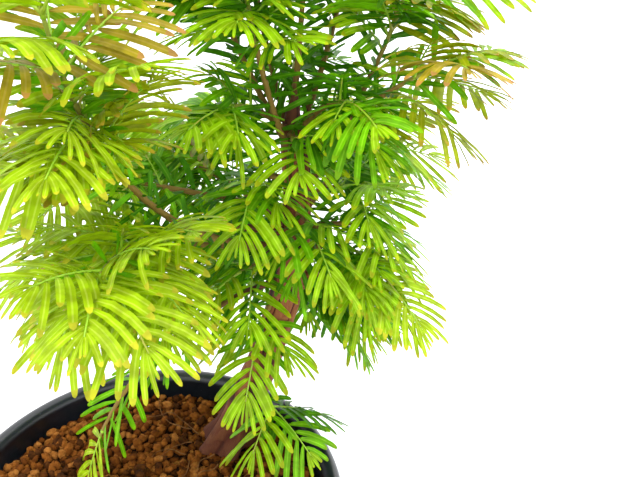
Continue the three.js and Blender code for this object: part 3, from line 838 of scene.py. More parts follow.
def needle_points(sprays, needles):
    """The points of all needles, (needles, stations, section, 3). The middle line is the running sum
    of short steps whose angle off the rachis falls towards the tip. The section stands across it."""
    own = chosen(sprays, needles["row"])
    draw = needles["row"], np.round(needles["foot"] * 100)
    twist = np.radians(shaken(TWIST, *draw, 5))[:, None, None]
    sink = between(*SINKS, *draw, 6)[:, None]
    lift = between(*LIFTS, *draw, 7)[:, None]
    hand, length = needles["hand"][:, None], needles["length"][:, None]
    angle = np.radians(needles["angle"][:, None] - BEND_FORWARD * (STATIONS - BEND_ABOUT)[None])
    step = np.diff(STATIONS, prepend=0)[None] * length
    x = needles["foot"][:, None] + np.cumsum(step * np.cos(angle), axis=1)
    y = hand * (FOOT_OFF + np.cumsum(step * np.sin(angle), axis=1))
    gone = STATIONS[None] * length
    z = lift * gone - sink * gone ** 2
    half = HALF_WIDTHS[None, :, None] * needles["width"][:, None, None]
    across, up = SECTION[:, 0] * half, SECTION[:, 1] * THICKNESS * np.sqrt(half / HALF_WIDTHS.max())
    across, up = swung(across, -up, twist), swung(up, across, twist)
    turned = angle[..., None]
    across = across * hand[..., None]
    px = x[..., None] - across * np.sin(turned) * hand[..., None]
    py = y[..., None] + across * np.cos(turned)
    return spray_points(own, px, py, z[..., None] + up)


def fit_needles(sprays, needles, overlap=NEEDLE_OVERLAP):
    """Each needle at the longest of three lengths that fits, or left out. The outer stations and the
    two edges are tested."""
    owner = sprays["limb"][needles["row"]]
    low, high = np.array(cad_box) / MM
    length = np.zeros(len(owner))
    for cut in NEEDLE_CUTS:
        trial = dict(needles, length=needles["length"] * cut)
        points = needle_points(sprays, trial)[:, (2, 3, 4, 6)][:, :, (0, 3, 4)]
        points = points.reshape(len(owner), -1, 3)
        good = fits(points, owner, overlap)
        good &= ((points > low - REACH_PAST) & (points < high + REACH_PAST)).all((1, 2))
        length = np.where((length == 0) & good, trial["length"], length)
    return chosen(dict(needles, length=length), length > 0)


rank = fit_needles(main_sprays, rank_needles(main_sprays))
fan = fit_needles(main_sprays, fan_needles(main_sprays))
single = fit_needles(stem_sprays, stem_needles(stem_sprays), STEM_OVERLAP)
print("needles in ranks, at tips and single:", *(len(part["row"]) for part in (rank, fan, single)))

# %% [markdown]
# ## Colours of the foliage
#
# Old needles inside the crown are deep green, those in the light are yellow-green, and the youngest
# at the outer tips are bronze, because new leaves are red before their green comes in. So a spray's
# colour follows from where it stands and from chance. Its green is partly the needles' own and partly
# painted light and shade: a spray deep in the crown, at its back or under it round the trunk foot is
# given a darker green, and one at the lit outside or towards the front a lighter one. Every kind of
# needle is a mesh of its own.

# %% Dealing out the colours
# The groove colours are paler than the blades: partly the midrib's own colour, partly a painted
# highlight.
KINDS = {  # blade, groove and tip of each kind of needle
    "deep": [(82, 147, 8), (108, 168, 28), (98, 154, 10)],
    "mid": [(122, 186, 6), (150, 206, 34), (140, 188, 12)],
    "bright": [(158, 197, 10), (184, 214, 52), (182, 194, 24)],
    "lime": [(172, 199, 18), (194, 214, 66), (194, 194, 44)],
    "olive": [(160, 174, 10), (176, 182, 30), (180, 162, 44)],
    "bronze": [(178, 162, 40), (190, 170, 66), (190, 150, 76)],
}
ORDER = list(KINDS)
CROWN_AXIS = np.array([50.0, 36.0])
CROWN_FOOT = 20.0
CROWN_SPREAD = 0.2
# Painted shade: sprays that end under this height and this near the crown's axis get darker greens.
UNDER_HEIGHT, UNDER_RADIUS = 112.0, 42.0  # the crown's own shade round the trunk foot
ROOT_DARKER_BELOW, YOUNG_ABOVE = 0.32, 0.9  # shares of a spray's length
LIGHT_STEPS = (0.26, 0.6, 1.45)  # up to these a spray is deep, mid and bright, and above them lime
# Painted light: the further forwards a spray stands, the lighter its green, one step in this many mm.
FRONT_LIGHT_FADE = 160.0
LUCK, UNDER_SHADE = 0.9, 0.5
TIP_SHARE = 0.8  # where on a spray its light is judged
BACK_COUNTS = 0.3  # how much standing further back counts as height
YOUNG_OUT, YOUNG_HIGH, BRONZE_HIGH = 40, 196, 205
RIGHT_FROM, OLIVE_SHARES, BRONZE_SHARE = 70, (0.85, 0.45), 0.12


def spray_kinds(sprays):
    """The number of the kind that each spray takes, from the place of its tip and from chance."""
    x = sprays["length"][:, None] * TIP_SHARE
    tip = spray_points(sprays, x, np.zeros_like(x), np.zeros_like(x))[:, 0]
    out = np.linalg.norm(tip[:, :2] - CROWN_AXIS, axis=1)
    luck = chance(sprays["limb"], sprays["number"], 8)
    luck_two = chance(sprays["limb"], sprays["number"], 9)
    crown = CROWN_FOOT + CROWN_SPREAD * (tip[:, 2] - SOIL_LEVEL)
    under = (tip[:, 2] < UNDER_HEIGHT) & (out < UNDER_RADIUS)
    forwards = (CROWN_AXIS[1] - tip[:, 1]) / FRONT_LIGHT_FADE
    # light is partly the needles' own colour and partly painted light and shade: lighter at the crown's
    # outside and front, darker deep inside, at the back and under the crown round the trunk foot.
    light = out / crown + forwards + LUCK * (luck - 0.5) - UNDER_SHADE * under
    kind = np.searchsorted(LIGHT_STEPS, light, side="right")
    high = tip[:, 2] + BACK_COUNTS * tip[:, 1]
    young = (out > YOUNG_OUT) & (high > YOUNG_HIGH)
    kind = np.where(young & (luck_two < np.where(tip[:, 0] > RIGHT_FROM, *OLIVE_SHARES)), 4, kind)
    return np.where(young & (high > BRONZE_HIGH) & (luck_two < BRONZE_SHARE), 5, kind)


def needle_kinds(kinds, needles):
    """A needle has its spray's kind. The ones at a mid or bright spray's root are one step darker, and
    the young ones at a dark spray's tip are one step lighter."""
    kind = kinds[needles["row"]]
    # The needles at the root of a mid or bright spray are one step darker.
    old = (needles["share"] < ROOT_DARKER_BELOW) & ((kind == 1) | (kind == 2))
    return np.select([old, (needles["share"] > YOUNG_ABOVE) & (kind < 2)], [kind - 1, kind + 1], kind)


main_kinds = spray_kinds(main_sprays)
stem_kinds = np.clip(spray_kinds(stem_sprays) - 1, 0, 2)
print("sprays of each kind:", dict(zip(ORDER, np.bincount(main_kinds, minlength=len(ORDER)).tolist())))

# %% [markdown]
# ## The finish of a needle
#
# A soft leaf does three things with light: it scatters it back in its own colour, it lets part of it
# through to the other side, and its skin gives a faint broad gloss. A Principled shader does the
# first and the last, and mixing in a Translucent shader does the second. A fine noise varies the
# green as the tissue does.

# %% Needle finishes
SHINE_THROUGH = 0.55
PALER, DARKER = 1.22, 0.8


def leaf_finish(name, colour):
    """A thin leaf of that colour."""
    finish = Finish(name)
    own = np.array(tint(*colour)[:3])
    darker, paler = ([*np.minimum(1, own * by), 1.0] for by in (DARKER, PALER))
    shade = finish.blend(finish.steps(finish.noise(240, 2), 0.3, 0.7), darker, paler)
    skin = finish.skin(shade, 0.42, finish.bump(finish.noise(1500, 2), 0.00006), 0.22)
    inside = finish.node("BsdfTranslucent", None, {"Color": shade})
    return finish.coat(finish.node("MixShader", None, {0: SHINE_THROUGH, 1: skin, 2: inside}))


NEEDLE_PARTS = ("blade", "groove", "tip")
leaf_materials = {
    kind: [leaf_finish(f"needle_{kind}_{part}", colour) for part, colour in zip(NEEDLE_PARTS, colours)]
    for kind, colours in KINDS.items()
}
print("leaf materials:", sum(len(parts) for parts in leaf_materials.values()))

# %% Needle pieces
MOST_TRIANGLES = 190_000
SECTION_COUNT = len(SECTION)
SIDES_EACH = (len(STATIONS) - 1) * SECTION_COUNT
TRIANGLES_EACH = 2 * SIDES_EACH + 2 * (SECTION_COUNT - 2)
EDGE_CORNERS = (0, 3)
GROOVE_SIDE = 1
TIP_FROM = 4


def side_slots():
    """The material of each quad of a needle: the groove down the top, the tip, or the blade."""
    station, side = np.divmod(np.arange(SIDES_EACH), SECTION_COUNT)
    return np.where(station >= TIP_FROM, 2, np.where(side == GROOVE_SIDE, 1, 0))


def sharpen_edges(mesh):
    """Marks both edges of every needle as sharp, so that its flat top shades flat."""
    ends = np.empty(2 * len(mesh.edges), dtype=np.int32)
    mesh.edges.foreach_get("vertices", ends)
    place = ends.reshape(-1, 2) % SECTION_COUNT
    sharp = np.any([(place == corner).all(1) for corner in EDGE_CORNERS], axis=0)
    mesh.attributes.new("sharp_edge", "BOOLEAN", "EDGE").data.foreach_set("value", sharp)


def foliage_names(limb_numbers):
    return [f"{LIMBS[i].name}_foliage" for i in np.unique(limb_numbers)]


def needle_piece(name, kind, points, owners):
    """One joined mesh of needles of one kind."""
    slots = np.concatenate([np.tile(side_slots(), len(points)), np.tile([0, 2], len(points))])
    thing = make_piece(name, points, leaf_materials[kind], slots=slots)
    sharpen_edges(thing.data)
    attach(thing, "root")
    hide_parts(*foliage_names(owners))


def all_needles():
    """Points, kinds and owners of every needle of the crown."""
    points, kinds, owners = [], [], []
    for sprays, spray_kind, needles in (
            (main_sprays, main_kinds, rank), (main_sprays, main_kinds, fan),
            (stem_sprays, stem_kinds, single)):
        points.append(needle_points(sprays, needles))
        kinds.append(needle_kinds(spray_kind, needles))
        owners.append(sprays["limb"][needles["row"]])
    return np.concatenate(points), np.concatenate(kinds), np.concatenate(owners)


needle_grid, needle_kind, needle_owner = all_needles()
for number, kind in enumerate(ORDER):
    rows = np.flatnonzero(needle_kind == number)
    shares = np.array_split(rows, -(-len(rows) * TRIANGLES_EACH // MOST_TRIANGLES))
    for order, part in enumerate(shares, start=1):
        needle_piece(f"needles_{kind}_{order}", kind, needle_grid[part], needle_owner[part])

# %% [markdown]
# ## Rachises
#
# The rachis is the thread that carries the two ranks of a spray: green, a little over a millimetre
# thick at its root and under half of one at its tip. It is a ring of points carried along the
# sagging middle line.

# %% Rachis tubes
RACHIS_STATIONS = np.array([-0.01, 0.06, 0.16, 0.3, 0.45, 0.6, 0.75, 0.88, 1.0])
RACHIS_AROUND = 6
RACHIS_ROOT, RACHIS_TIP, RACHIS_SWELL = 0.38, 0.2, 0.3
RACHIS_GREEN, RACHIS_RED = (136, 178, 28), (166, 150, 60)


def rachis_points(sprays):
    """Rings round the middle line, (sprays, stations, around, 3). The radius swells at the root."""
    radius = mix(RACHIS_ROOT, RACHIS_TIP, RACHIS_STATIONS)
    radius = radius + RACHIS_SWELL * np.exp(-RACHIS_STATIONS / 0.05)
    turn = circle(RACHIS_AROUND)
    x = sprays["length"][:, None, None] * RACHIS_STATIONS[:, None] + 0 * turn
    y, z = (radius[:, None] * part(turn) + 0 * x for part in (np.cos, np.sin))
    return spray_points(sprays, x, y, z)


def rachis_finish():
    """Fresh green, redder in patches, with fine lengthwise unevenness."""
    finish = Finish("rachis_skin")
    patch = finish.steps(finish.noise(90, 2), 0.5, 0.75)
    colour = finish.blend(patch, RACHIS_GREEN, RACHIS_RED)
    return finish.coat(finish.skin(colour, 0.5, finish.bump(finish.noise(1800, 3), 0.0001)))


rachises = make_piece("rachises", rachis_points(main_sprays), [rachis_finish()])
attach(rachises, "root")
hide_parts(*foliage_names(main_sprays["limb"]))

# %% [markdown]
# ## Trunk
#
# The bark is reddish brown and peels in long thin strips, a few millimetres wide on a bonsai's trunk,
# which is as thick as a thumb and fluted where the roots start. A bump map alone would leave the
# outline smooth, so the strips are real: noise drawn out along the trunk pushes the radius of a fine
# grid in. How deep each point lies is kept as a number on it, and shade is painted darker there. Low
# over the soil the bark is painted darker too, as shade under the crown.

# %% Trunk surface
TRUNK_AROUND = 176
TRUNK_RINGS = 470
FORK_DOME = 3.2
# The painted shade at the trunk's foot fades out between these heights.
FOOT_SHADE_FROM, FOOT_SHADE_TO = 66.0, 98.0
STRIP_DEPTH = 0.75
WARPS, STRIPS, PLATES, FIBRE_LINES = 5, 11, 9, 46  # how many stand round a stem
WARP_LONG, STRIP_LONG, PLATE_LONG, FIBRE_LONG = 9, 13, 4.5, 3
STRIP_EDGE, STRIP_LOW, PLATE_FROM, PLATE_STEP, FIBRE_STEP = 2.6, 0.55, 0.62, 0.35, 0.35
LUMP_SIZE, LUMP_LONG = 0.6, 17
TRUNK_SEED, LUMP_SEED, STUB_SEED, LIMB_SEED = 41, 31, 71, 90
# The fissure colour and the foot colour are painted shade.
FISSURE_SHADE, BARK, CREST, SHADED_FOOT = (44, 18, 7), (104, 50, 23), (136, 84, 46), (60, 23, 10)


def bark_relief(around, height, seed):
    """How far the bark stands out, from about -1 in a fissure to 1 on a strip: strips between long
    fissures, loose plates across them, and fine fibres."""
    warp = grain(around, height / WARP_LONG, seed, WARPS) - 0.5
    fissure = np.abs(2 * grain(around + 0.05 * warp, height / STRIP_LONG, seed + 1, STRIPS) - 1)
    plate = grain(around + 0.02 * warp, height / PLATE_LONG, seed + 2, PLATES)
    fibre = grain(around, height / FIBRE_LONG, seed + 3, FIBRE_LINES)
    strips = np.clip(fissure * STRIP_EDGE, 0, 1) - STRIP_LOW
    peel = np.where(plate > PLATE_FROM, PLATE_STEP, 0.0)
    return strips + peel + FIBRE_STEP * (fibre - 0.5)


def trunk_surface():
    """Level rings up the leaning middle line. The flare's ridges fade out above the soil, and the top
    ring closes over the fork in a low dome."""
    share = np.linspace(0, 1, TRUNK_RINGS) ** 1.1
    turn, around, height = unrolled(TRUNK_HEIGHT * share[:, None], TRUNK_AROUND)
    flared = np.exp(-height / (1.6 * FLARE_HEIGHT))
    ridge = 1 + ROOT_DEPTH * flared * np.cos(ROOTS * turn)
    lumps = LUMP_SIZE * (grain(around, height / LUMP_LONG, LUMP_SEED, 4) - 0.5)
    relief = bark_relief(around, height, TRUNK_SEED)
    radius = trunk_radius(share)[:, None] * ridge + lumps + 0.5 * STRIP_DEPTH * relief
    closing = ((height - TRUNK_HEIGHT + FORK_DOME) / FORK_DOME).clip(0, 1)
    radius = radius * np.sqrt(np.clip(1 - closing ** 2, 0.02, 1))
    return tube(trunk_point(share), ACROSS, INTO, radius), relief


def bark_finish():
    """Bark that reads the depth kept on its points: fissures painted dark as shade, a body colour,
    lighter crests. Low over the soil it is darker, painted shade under the crown."""
    finish = Finish("trunk_bark")
    depth = finish.kept("relief")
    cloud = finish.noise(130, 4, 0.6)
    stretched = finish.node("Mapping", None, {"Vector": finish.place(), "Scale": (1.0, 1.0, 0.22)})
    fibres = finish.noise(900, 4, 0.65, stretched)
    # Painted shade: the deeper a point lies in the bark, the darker its colour.
    low = finish.blend(finish.steps(depth + 0.5 * cloud, -0.3, 0.55), FISSURE_SHADE, BARK)
    colour = finish.blend(finish.steps(depth + 0.9 * fibres, 0.5, 1.25), low, CREST)
    foot_shade = 1 - finish.steps(finish.axis("Z") + 0.02 * cloud, FOOT_SHADE_FROM * MM, FOOT_SHADE_TO * MM)
    colour = finish.blend(0.8 * foot_shade, colour, SHADED_FOOT)
    return finish.coat(finish.skin(colour, 0.72 + 0.2 * cloud, finish.bump(fibres, 0.0004), 0.3))


trunk_bark = bark_finish()
trunk_points, trunk_relief = trunk_surface()
trunk = make_piece("trunk_bark", trunk_points, [trunk_bark], values={"relief": trunk_relief})
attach(trunk, "root")
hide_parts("trunk")

# %% [markdown]
# ## Cut stub
#
# An old branch was sawn off a little above the trunk's half. Its bark ends in a rolled edge round a
# pale face of bare wood, a little hollowed, with rings and a few drying cracks.

# %% Stub surface
STUB_HEIGHT = 71.0
STUB_BEARING = 5.0
STUB_RISE = 25.0
STUB_REACH = 9.0 + FOOT_RADIUS / 2
STUB_BASE_RADIUS = 2.7
STUB_TIP_RADIUS = 2.3
STUB_AROUND = 48
BARE_BELOW = 0.78  # the radius share at which the profile leaves the bark for the cut
RING_DARK, RING_PALE, CHECKS = (178, 142, 104), (206, 176, 136), (112, 78, 54)
STUB_FOOT = trunk_point(STUB_HEIGHT / TRUNK_HEIGHT)
STUB_AHEAD = heading(STUB_BEARING, STUB_RISE)


def stub_surface():
    """A tube with bark relief whose profile turns in over the cut: (distance, radius share) pairs."""
    reach = STUB_REACH
    barked = np.stack([np.linspace(0, reach - 0.4, 40), np.ones(40)], -1)
    rolled = np.array([[reach - 0.1, 0.97], [reach, 0.88], [reach - 0.12, 0.8], [reach - 0.35, 0.72]])
    cut = np.stack([np.linspace(reach - 0.38, reach - 0.6, 8), np.linspace(0.66, 0.03, 8)], -1)
    profile = np.vstack([barked, rolled, cut])
    turn, around, distance = unrolled(profile[:, :1], STUB_AROUND)
    on_bark = (profile[:, 1:] > 0.9) + 0 * turn
    relief = bark_relief(around, distance, STUB_SEED) * on_bark
    flat = mix(STUB_BASE_RADIUS, STUB_TIP_RADIUS, distance / reach) * profile[:, 1:]
    collar = 1.1 * np.exp(-((distance - 3.2) / 1.8).clip(0) ** 2) * on_bark
    radius = flat + collar + 0.22 * relief
    side = unit(np.cross(UP, STUB_AHEAD))
    points = tube(STUB_FOOT + STUB_AHEAD * profile[:, :1], side, np.cross(STUB_AHEAD, side), radius)
    return points, relief, np.repeat(profile[:-1, 1] < BARE_BELOW, STUB_AROUND)


def cut_wood_finish():
    """Pale weathered wood with rings about the stub's axis and a few dark checks."""
    finish = Finish("cut_wood")
    tip = tuple((STUB_FOOT + STUB_AHEAD * STUB_REACH) * MM)
    moved = finish.node("VectorMath", {"operation": "SUBTRACT"}, {0: finish.place(), 1: tip})
    distance = finish.node("VectorMath", {"operation": "LENGTH"}, {0: moved}, out="Value")
    rings = finish.node("Math", {"operation": "SINE"}, {0: distance * 14000 + 5 * finish.noise(500, 2)})
    cloud = finish.noise(700, 4)
    colour = finish.blend(finish.steps(rings, -0.2, 0.9), RING_DARK, RING_PALE)
    colour = finish.blend(finish.steps(cloud, 0.55, 0.75), colour, CHECKS)
    return finish.coat(finish.skin(colour, 0.85, finish.bump(cloud, 0.0002)))


stub_points, stub_relief, stub_bare = stub_surface()
stub = make_piece(
    "trunk_stub", stub_points, [trunk_bark, cut_wood_finish()],
    slots=np.concatenate([stub_bare, [0, 1]]), values={"relief": stub_relief})
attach(stub, "root")
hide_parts("trunk")

# %% [markdown]
# ## Boughs and stems
#
# A limb is flaky and brown where it leaves the trunk, orange-brown further out, and green where it is
# this year's growth. It swells a little at its nodes, which stand at even steps. All limbs are one
# mesh: the same grid of rings carried along every path, thick to thin, with its age kept on each point.

# %% Limb surface
LIMB_AROUND = 16
RING_STEP = 0.8
NODE_STEP = 5.2
COLLAR = 0.9
STEM_RADIUS, TWIG_RADIUS = 0.92, 0.45
NODE_SWELL, NODE_WIDTH, COLLAR_FADE = 0.12, 0.55, 2.4
YOUNG_DEPTH, OLD_DEPTH = 0.03, 0.16
OLD_BARK_AND_SHADE_TINTS, TAN_TINTS, YOUNG_TINTS = (
    ((44, 21, 11), (92, 50, 28)), ((108, 86, 30), (134, 108, 42)), ((112, 118, 34), (140, 152, 50)))


def limb_surface(index, limb):
    """One tapering tube from inside the trunk to the tip: (rings, around, 3), relief and age."""
    share = np.linspace(0, 1, int(limb.reach / RING_STEP))
    turn, around, reached = unrolled(limb.reach * share[:, None], LIMB_AROUND)
    taper = np.where(share < limb.bare, mix(0.8 * limb.radius, STEM_RADIUS, share / limb.bare),
                     mix(STEM_RADIUS, TWIG_RADIUS, (share - limb.bare) / (1 - limb.bare)))[:, None]
    age = np.clip(1.15 - share[:, None] / max(limb.bare + 0.42, 0.6), 0, 1) + 0 * turn
    node = np.exp(-((fraction(reached / NODE_STEP + 0.5) - 0.5) * NODE_STEP / NODE_WIDTH) ** 2)
    collar = COLLAR * np.exp(-((reached - FORK_RADIUS) / COLLAR_FADE).clip(0) ** 2)
    relief = bark_relief(around, reached * 1.6, LIMB_SEED + 5 * index)
    radius = taper * (1 + NODE_SWELL * node) + collar + mix(YOUNG_DEPTH, OLD_DEPTH, age) * relief
    radius = radius * np.where(share > 0.995, 0.4, 1)[:, None]
    return tube(along(index, share), *sides_of(direction(limb, share)), radius), relief, age


def limb_finish():
    """Brown flaking bark where old, with shade painted dark into its fissures, orange-brown further
    out, and green where young.
    """
    finish = Finish("limb_bark")
    depth = finish.kept("relief")
    age = finish.kept("age")
    cloud = finish.noise(160, 3, 0.6)
    # Painted shade: where old, the deeper a point lies in the bark, the darker it is.
    old = finish.blend(finish.steps(depth + 0.4 * cloud, -0.35, 0.5), *OLD_BARK_AND_SHADE_TINTS)
    tan, young = finish.blend(cloud, *TAN_TINTS), finish.blend(cloud, *YOUNG_TINTS)
    colour = finish.blend(finish.steps(age + 0.3 * cloud, 0.22, 0.5), young, tan)
    colour = finish.blend(finish.steps(age + 0.35 * cloud, 0.95, 1.2), colour, old)
    normal = finish.bump(finish.noise(1400, 4, 0.6), 0.00022)
    return finish.coat(finish.skin(colour, 0.55 + 0.25 * age, normal, 0.35))


def in_a_row(number):
    """One of the three arrays of all the limbs, end to end."""
    return np.concatenate([part[number].ravel() for part in limb_parts])


limb_parts = [limb_surface(index, limb) for index, limb in enumerate(LIMBS)]
limb_groups, first_point = [], 0
for points, _, _ in limb_parts:
    limb_groups += [faces + first_point for faces in tube_faces(points)]
    first_point += points[..., 0].size
limbs = make_piece(
    "limbs_bark", in_a_row(0), [limb_finish()], limb_groups,
    values={"relief": in_a_row(1), "age": in_a_row(2)})
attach(limbs, "root")
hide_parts(*[f"{limb.name}_wood" for limb in LIMBS])

# %% [markdown]
# ## Pot
#
# The pot is thrown stoneware: one profile turned about the Z axis, dipped in a dark blue-grey glaze.
# The glaze runs thin and pale over the lip, and the pale band on the lip's outer edge is partly that
# and partly a painted highlight. The glaze is clear of the foot, so that the pot doesn't stick to the
# kiln shelf. Three drain holes go through the floor.

# %% Pot surface
RIM_RADIUS = 69.8
LIP_WIDTH = 6.5
LIP_HEIGHT = 8.0
NECK_RADIUS = 65.5
FOOT_RING = 50.0
FOOT_BEVEL = 1.5
WALL = 5.0
POT_FLOOR = 6.0
DRAINS = 3
DRAIN_RADIUS = 5.0
DRAIN_OFFSET = 27.0
POT_AROUND = 192
POT_WOBBLE = 0.0008
AXIS_GAP = 0.6  # how near to the axis a turned profile comes
# The lip colour is pale thin glaze on the lip's outer edge, with a painted highlight in it.
GLAZE_TINTS, LIP_BREAK_AND_HIGHLIGHT, SPECK_TINT = ((10, 14, 19), (18, 24, 31)), (112, 126, 142), (86, 96, 108)
CLAY_TINTS = ((116, 84, 64), (146, 112, 86))
DIPPED_FROM, DIPPED_TO = 0.0045, 0.0062  # metres above the table


def outline(corners, counts):
    """Straight lines through the corners with that many points each, and the last corner."""
    corners = np.array(corners, dtype=float)
    lines = [mix(start, end, np.arange(count)[:, None] / count)
             for start, end, count in zip(corners, corners[1:], counts)]
    return np.vstack([*lines, corners[-1:]])


def pot_profile():
    """Radius and height from the middle of the underside, out and up the wall, over the lip in half a
    circle, and down the inside to the middle of the floor."""
    lip = LIP_WIDTH / 2
    turn = np.radians(np.linspace(-8, 188, 29))
    crown = np.stack([RIM_RADIUS - lip + lip * np.cos(turn), POT_HEIGHT - lip + lip * np.sin(turn)], -1)
    neck = (NECK_RADIUS, POT_HEIGHT - LIP_HEIGHT - 3)
    under_lip = (RIM_RADIUS - 0.6, POT_HEIGHT - LIP_HEIGHT)
    inner = (RIM_RADIUS - LIP_WIDTH, POT_HEIGHT - LIP_HEIGHT)
    outside = [(AXIS_GAP, 0), (FOOT_RING - FOOT_BEVEL, 0), (FOOT_RING, FOOT_BEVEL),
               neck, under_lip, crown[0]]
    inside = [inner, (FOOT_RING - WALL, POT_FLOOR), (AXIS_GAP, POT_FLOOR)]
    return np.vstack([outline(outside, (16, 3, 34, 6, 3))[:-1], crown, outline(inside, (24, 14))])


def turned(profile, around, wobble=0.0):
    """The profile carried round the Z axis. Wobble is a slow unevenness of the radius."""
    turn = circle(around)
    radius = profile[:, :1] * (1 + wobble * np.sin(3 * turn + profile[:, 1:] / 17))
    return np.stack([radius * np.cos(turn), radius * np.sin(turn), profile[:, 1:] + 0 * turn], -1)


def glaze_finish():
    """Dark glaze that breaks pale on the lip's outer edge, partly thin glaze and partly a painted
    highlight, over raw clay near the foot. Distances are worked out from the place of each point: its
    height and its distance from the axis."""
    finish = Finish("pot_glaze")
    x, y, height = (finish.axis(letter) for letter in "XYZ")
    radius = (x * x + y * y) ** 0.5
    cloud = finish.noise(38, 4, 0.55)
    speck = finish.noise(900, 2, 0.7)
    lip_break_and_highlight = finish.steps(radius + 0.0012 * cloud, (RIM_RADIUS - 0.4) * MM, (RIM_RADIUS + 0.6) * MM)
    on_lip = finish.steps(height, (POT_HEIGHT - 7) * MM, (POT_HEIGHT - 3) * MM)
    base = finish.blend(finish.steps(cloud, 0.35, 0.7), *GLAZE_TINTS)
    # Painted highlight and pale thin glaze on the lip's outer edge.
    base = finish.blend(lip_break_and_highlight * on_lip * 0.75, base, LIP_BREAK_AND_HIGHLIGHT)
    base = finish.blend(finish.steps(speck, 0.66, 0.76) * 0.35, base, SPECK_TINT)
    dipped = finish.steps(height + 0.004 * cloud, DIPPED_FROM, DIPPED_TO)
    clay = finish.blend(finish.noise(300, 4), *CLAY_TINTS)
    colour = finish.blend(dipped, clay, base)
    normal = finish.bump(0.7 * cloud + 0.3 * speck, 0.00025)
    return finish.coat(finish.skin(colour, dipped * -0.55 + 0.82 + 0.08 * cloud, normal, 0.55))


pot = make_piece("pot_glazed", turned(pot_profile(), POT_AROUND, POT_WOBBLE), [glaze_finish()])

# %% Drain holes
DRAIN_AROUND = 48


def drain_cutter(number):
    """A closed cylinder through the floor, to be cut away."""
    angle = np.radians(90 + 360 * number / DRAINS)
    centre = DRAIN_OFFSET * np.array([np.cos(angle), np.sin(angle)])
    reach = np.array([[DRAIN_RADIUS, -2.0], [DRAIN_RADIUS, POT_FLOOR + 2.0]])
    return make_piece(f"drain_{number}", turned(reach, DRAIN_AROUND) + np.array([*centre, 0]), [])


def cut_away(body, cutters):
    """Cuts the cutters out of the body, keeps the result as its mesh and removes them."""
    for cutter in cutters:
        modifier = body.modifiers.new("drain", "BOOLEAN")
        modifier.operation = "DIFFERENCE"
        modifier.solver = "EXACT"
        modifier.object = cutter
    bpy.context.view_layer.update()
    shaped = body.evaluated_get(bpy.context.evaluated_depsgraph_get())
    mesh = bpy.data.meshes.new_from_object(shaped)
    body.modifiers.clear()
    body.data = mesh
    for cutter in cutters:
        bpy.data.objects.remove(cutter)


cut_away(pot, [drain_cutter(number) for number in range(DRAINS)])
print("pot faces after the drains:", len(pot.data.polygons))
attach(pot, "root")
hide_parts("pot")

# %% [markdown]
# ## Soil
#
# Bonsai soil is baked clay, sieved to grains of 3 to 5 mm. It is filled in by the scoop, so its top is
# gently heaped, and it dips at the pot's wall. Its rounded crumbs are real lumps here, in two layers
# over a bed painted dark as the shade in the gaps between them, each crumb a ball pushed in and out by
# a few waves, in one of four browns.

# %% Soil bed
BED_AROUND = 160
INNER_FOOT = FOOT_RING - WALL - 0.6
INNER_MOUTH = RIM_RADIUS - LIP_WIDTH - 0.6
INNER_BOTTOM = POT_FLOOR + 0.3
BED_COUNTS = (8, 10, 60)
HEAP_SHIFTS = (1.3, 0.2), (1.1, 0.17)  # how much and how slowly each wave is shifted by the other
TRUNK_FADE, WALL_FADE = (6, 13), (0, 8)
BED_DEPTH = 2.0
# The bed's dark browns are painted shade, seen in the gaps between the crumbs.
BED_SHADE_TINTS = ((28, 15, 7), (50, 29, 15))


def inner_radius(height):
    """How wide the soil is at a height, just clear of the pot's wall."""
    return mix(INNER_FOOT, INNER_MOUTH, (height - POT_FLOOR) / (POT_HEIGHT - LIP_HEIGHT - POT_FLOOR))


SOIL_EDGE = inner_radius(POT_HEIGHT - LIP_HEIGHT - 2)


def smooth(value, low, high):
    """0 below low, 1 above high, and eased between."""
    share = np.clip((value - low) / (high - low), 0, 1)
    return share * share * (3 - 2 * share)


def soil_top(x, y):
    """The height of the soil: level, with a dip at the wall, and low heaps from waves in both
    directions, each shifted by the other, that die out at the wall and round the trunk's foot."""
    from_middle = np.hypot(x, y)
    level_to = np.hypot(*TRUNK_FOOT) + FOOT_RADIUS + FLARE
    dip = SOIL_DIP * np.clip((from_middle - level_to) / (SOIL_EDGE - level_to), 0, 1)
    wave = 2 * np.pi / LUMPS_APART
    pairs = zip(((x, y), (y, x)), HEAP_SHIFTS)
    first, second = (np.sin(wave * p + much * np.sin(slow * q)) for (p, q), (much, slow) in pairs)
    from_trunk = np.hypot(x - TRUNK_FOOT[0], y - TRUNK_FOOT[1]) - FOOT_RADIUS - FLARE
    fade = smooth(from_trunk, *TRUNK_FADE) * smooth(SOIL_EDGE - from_middle, *WALL_FADE)
    return SOIL_LEVEL - 0.3 - dip + 0.5 * SOIL_LUMP * (1 + first * second) * fade


def bed_surface():
    """The pot's filling: out along its bottom, up the wall, and in over an uneven top, which lies a
    little under the tops of the crumbs."""
    top = SOIL_LEVEL - SOIL_DIP - 2.3
    corners = [(AXIS_GAP, INNER_BOTTOM), (INNER_FOOT, INNER_BOTTOM),
               (inner_radius(top), top), (AXIS_GAP, top)]
    profile = outline(corners, BED_COUNTS)
    points = turned(profile, BED_AROUND)
    around = np.arange(BED_AROUND) / BED_AROUND + 0 * profile[:, :1]
    rough = grain(around, profile[:, :1] / 2.6, 55, 60) - 0.5
    first = sum(BED_COUNTS[:2])
    upper = points[first:]
    upper[..., 2] = soil_top(upper[..., 0], upper[..., 1]) - BED_DEPTH + rough[first:]
    return points


def soil_finish(name, dark, light):
    """Dusty baked clay: two close browns in clouds, and a fine pitted surface."""
    finish = Finish(name)
    cloud = finish.noise(420, 4, 0.6)
    pits = finish.noise(2600, 3, 0.7)
    colour = finish.blend(finish.steps(cloud, 0.3, 0.72), dark, light)
    return finish.coat(finish.skin(colour, 0.92, finish.bump(0.6 * pits + 0.4 * cloud, 0.0005), 0.06))


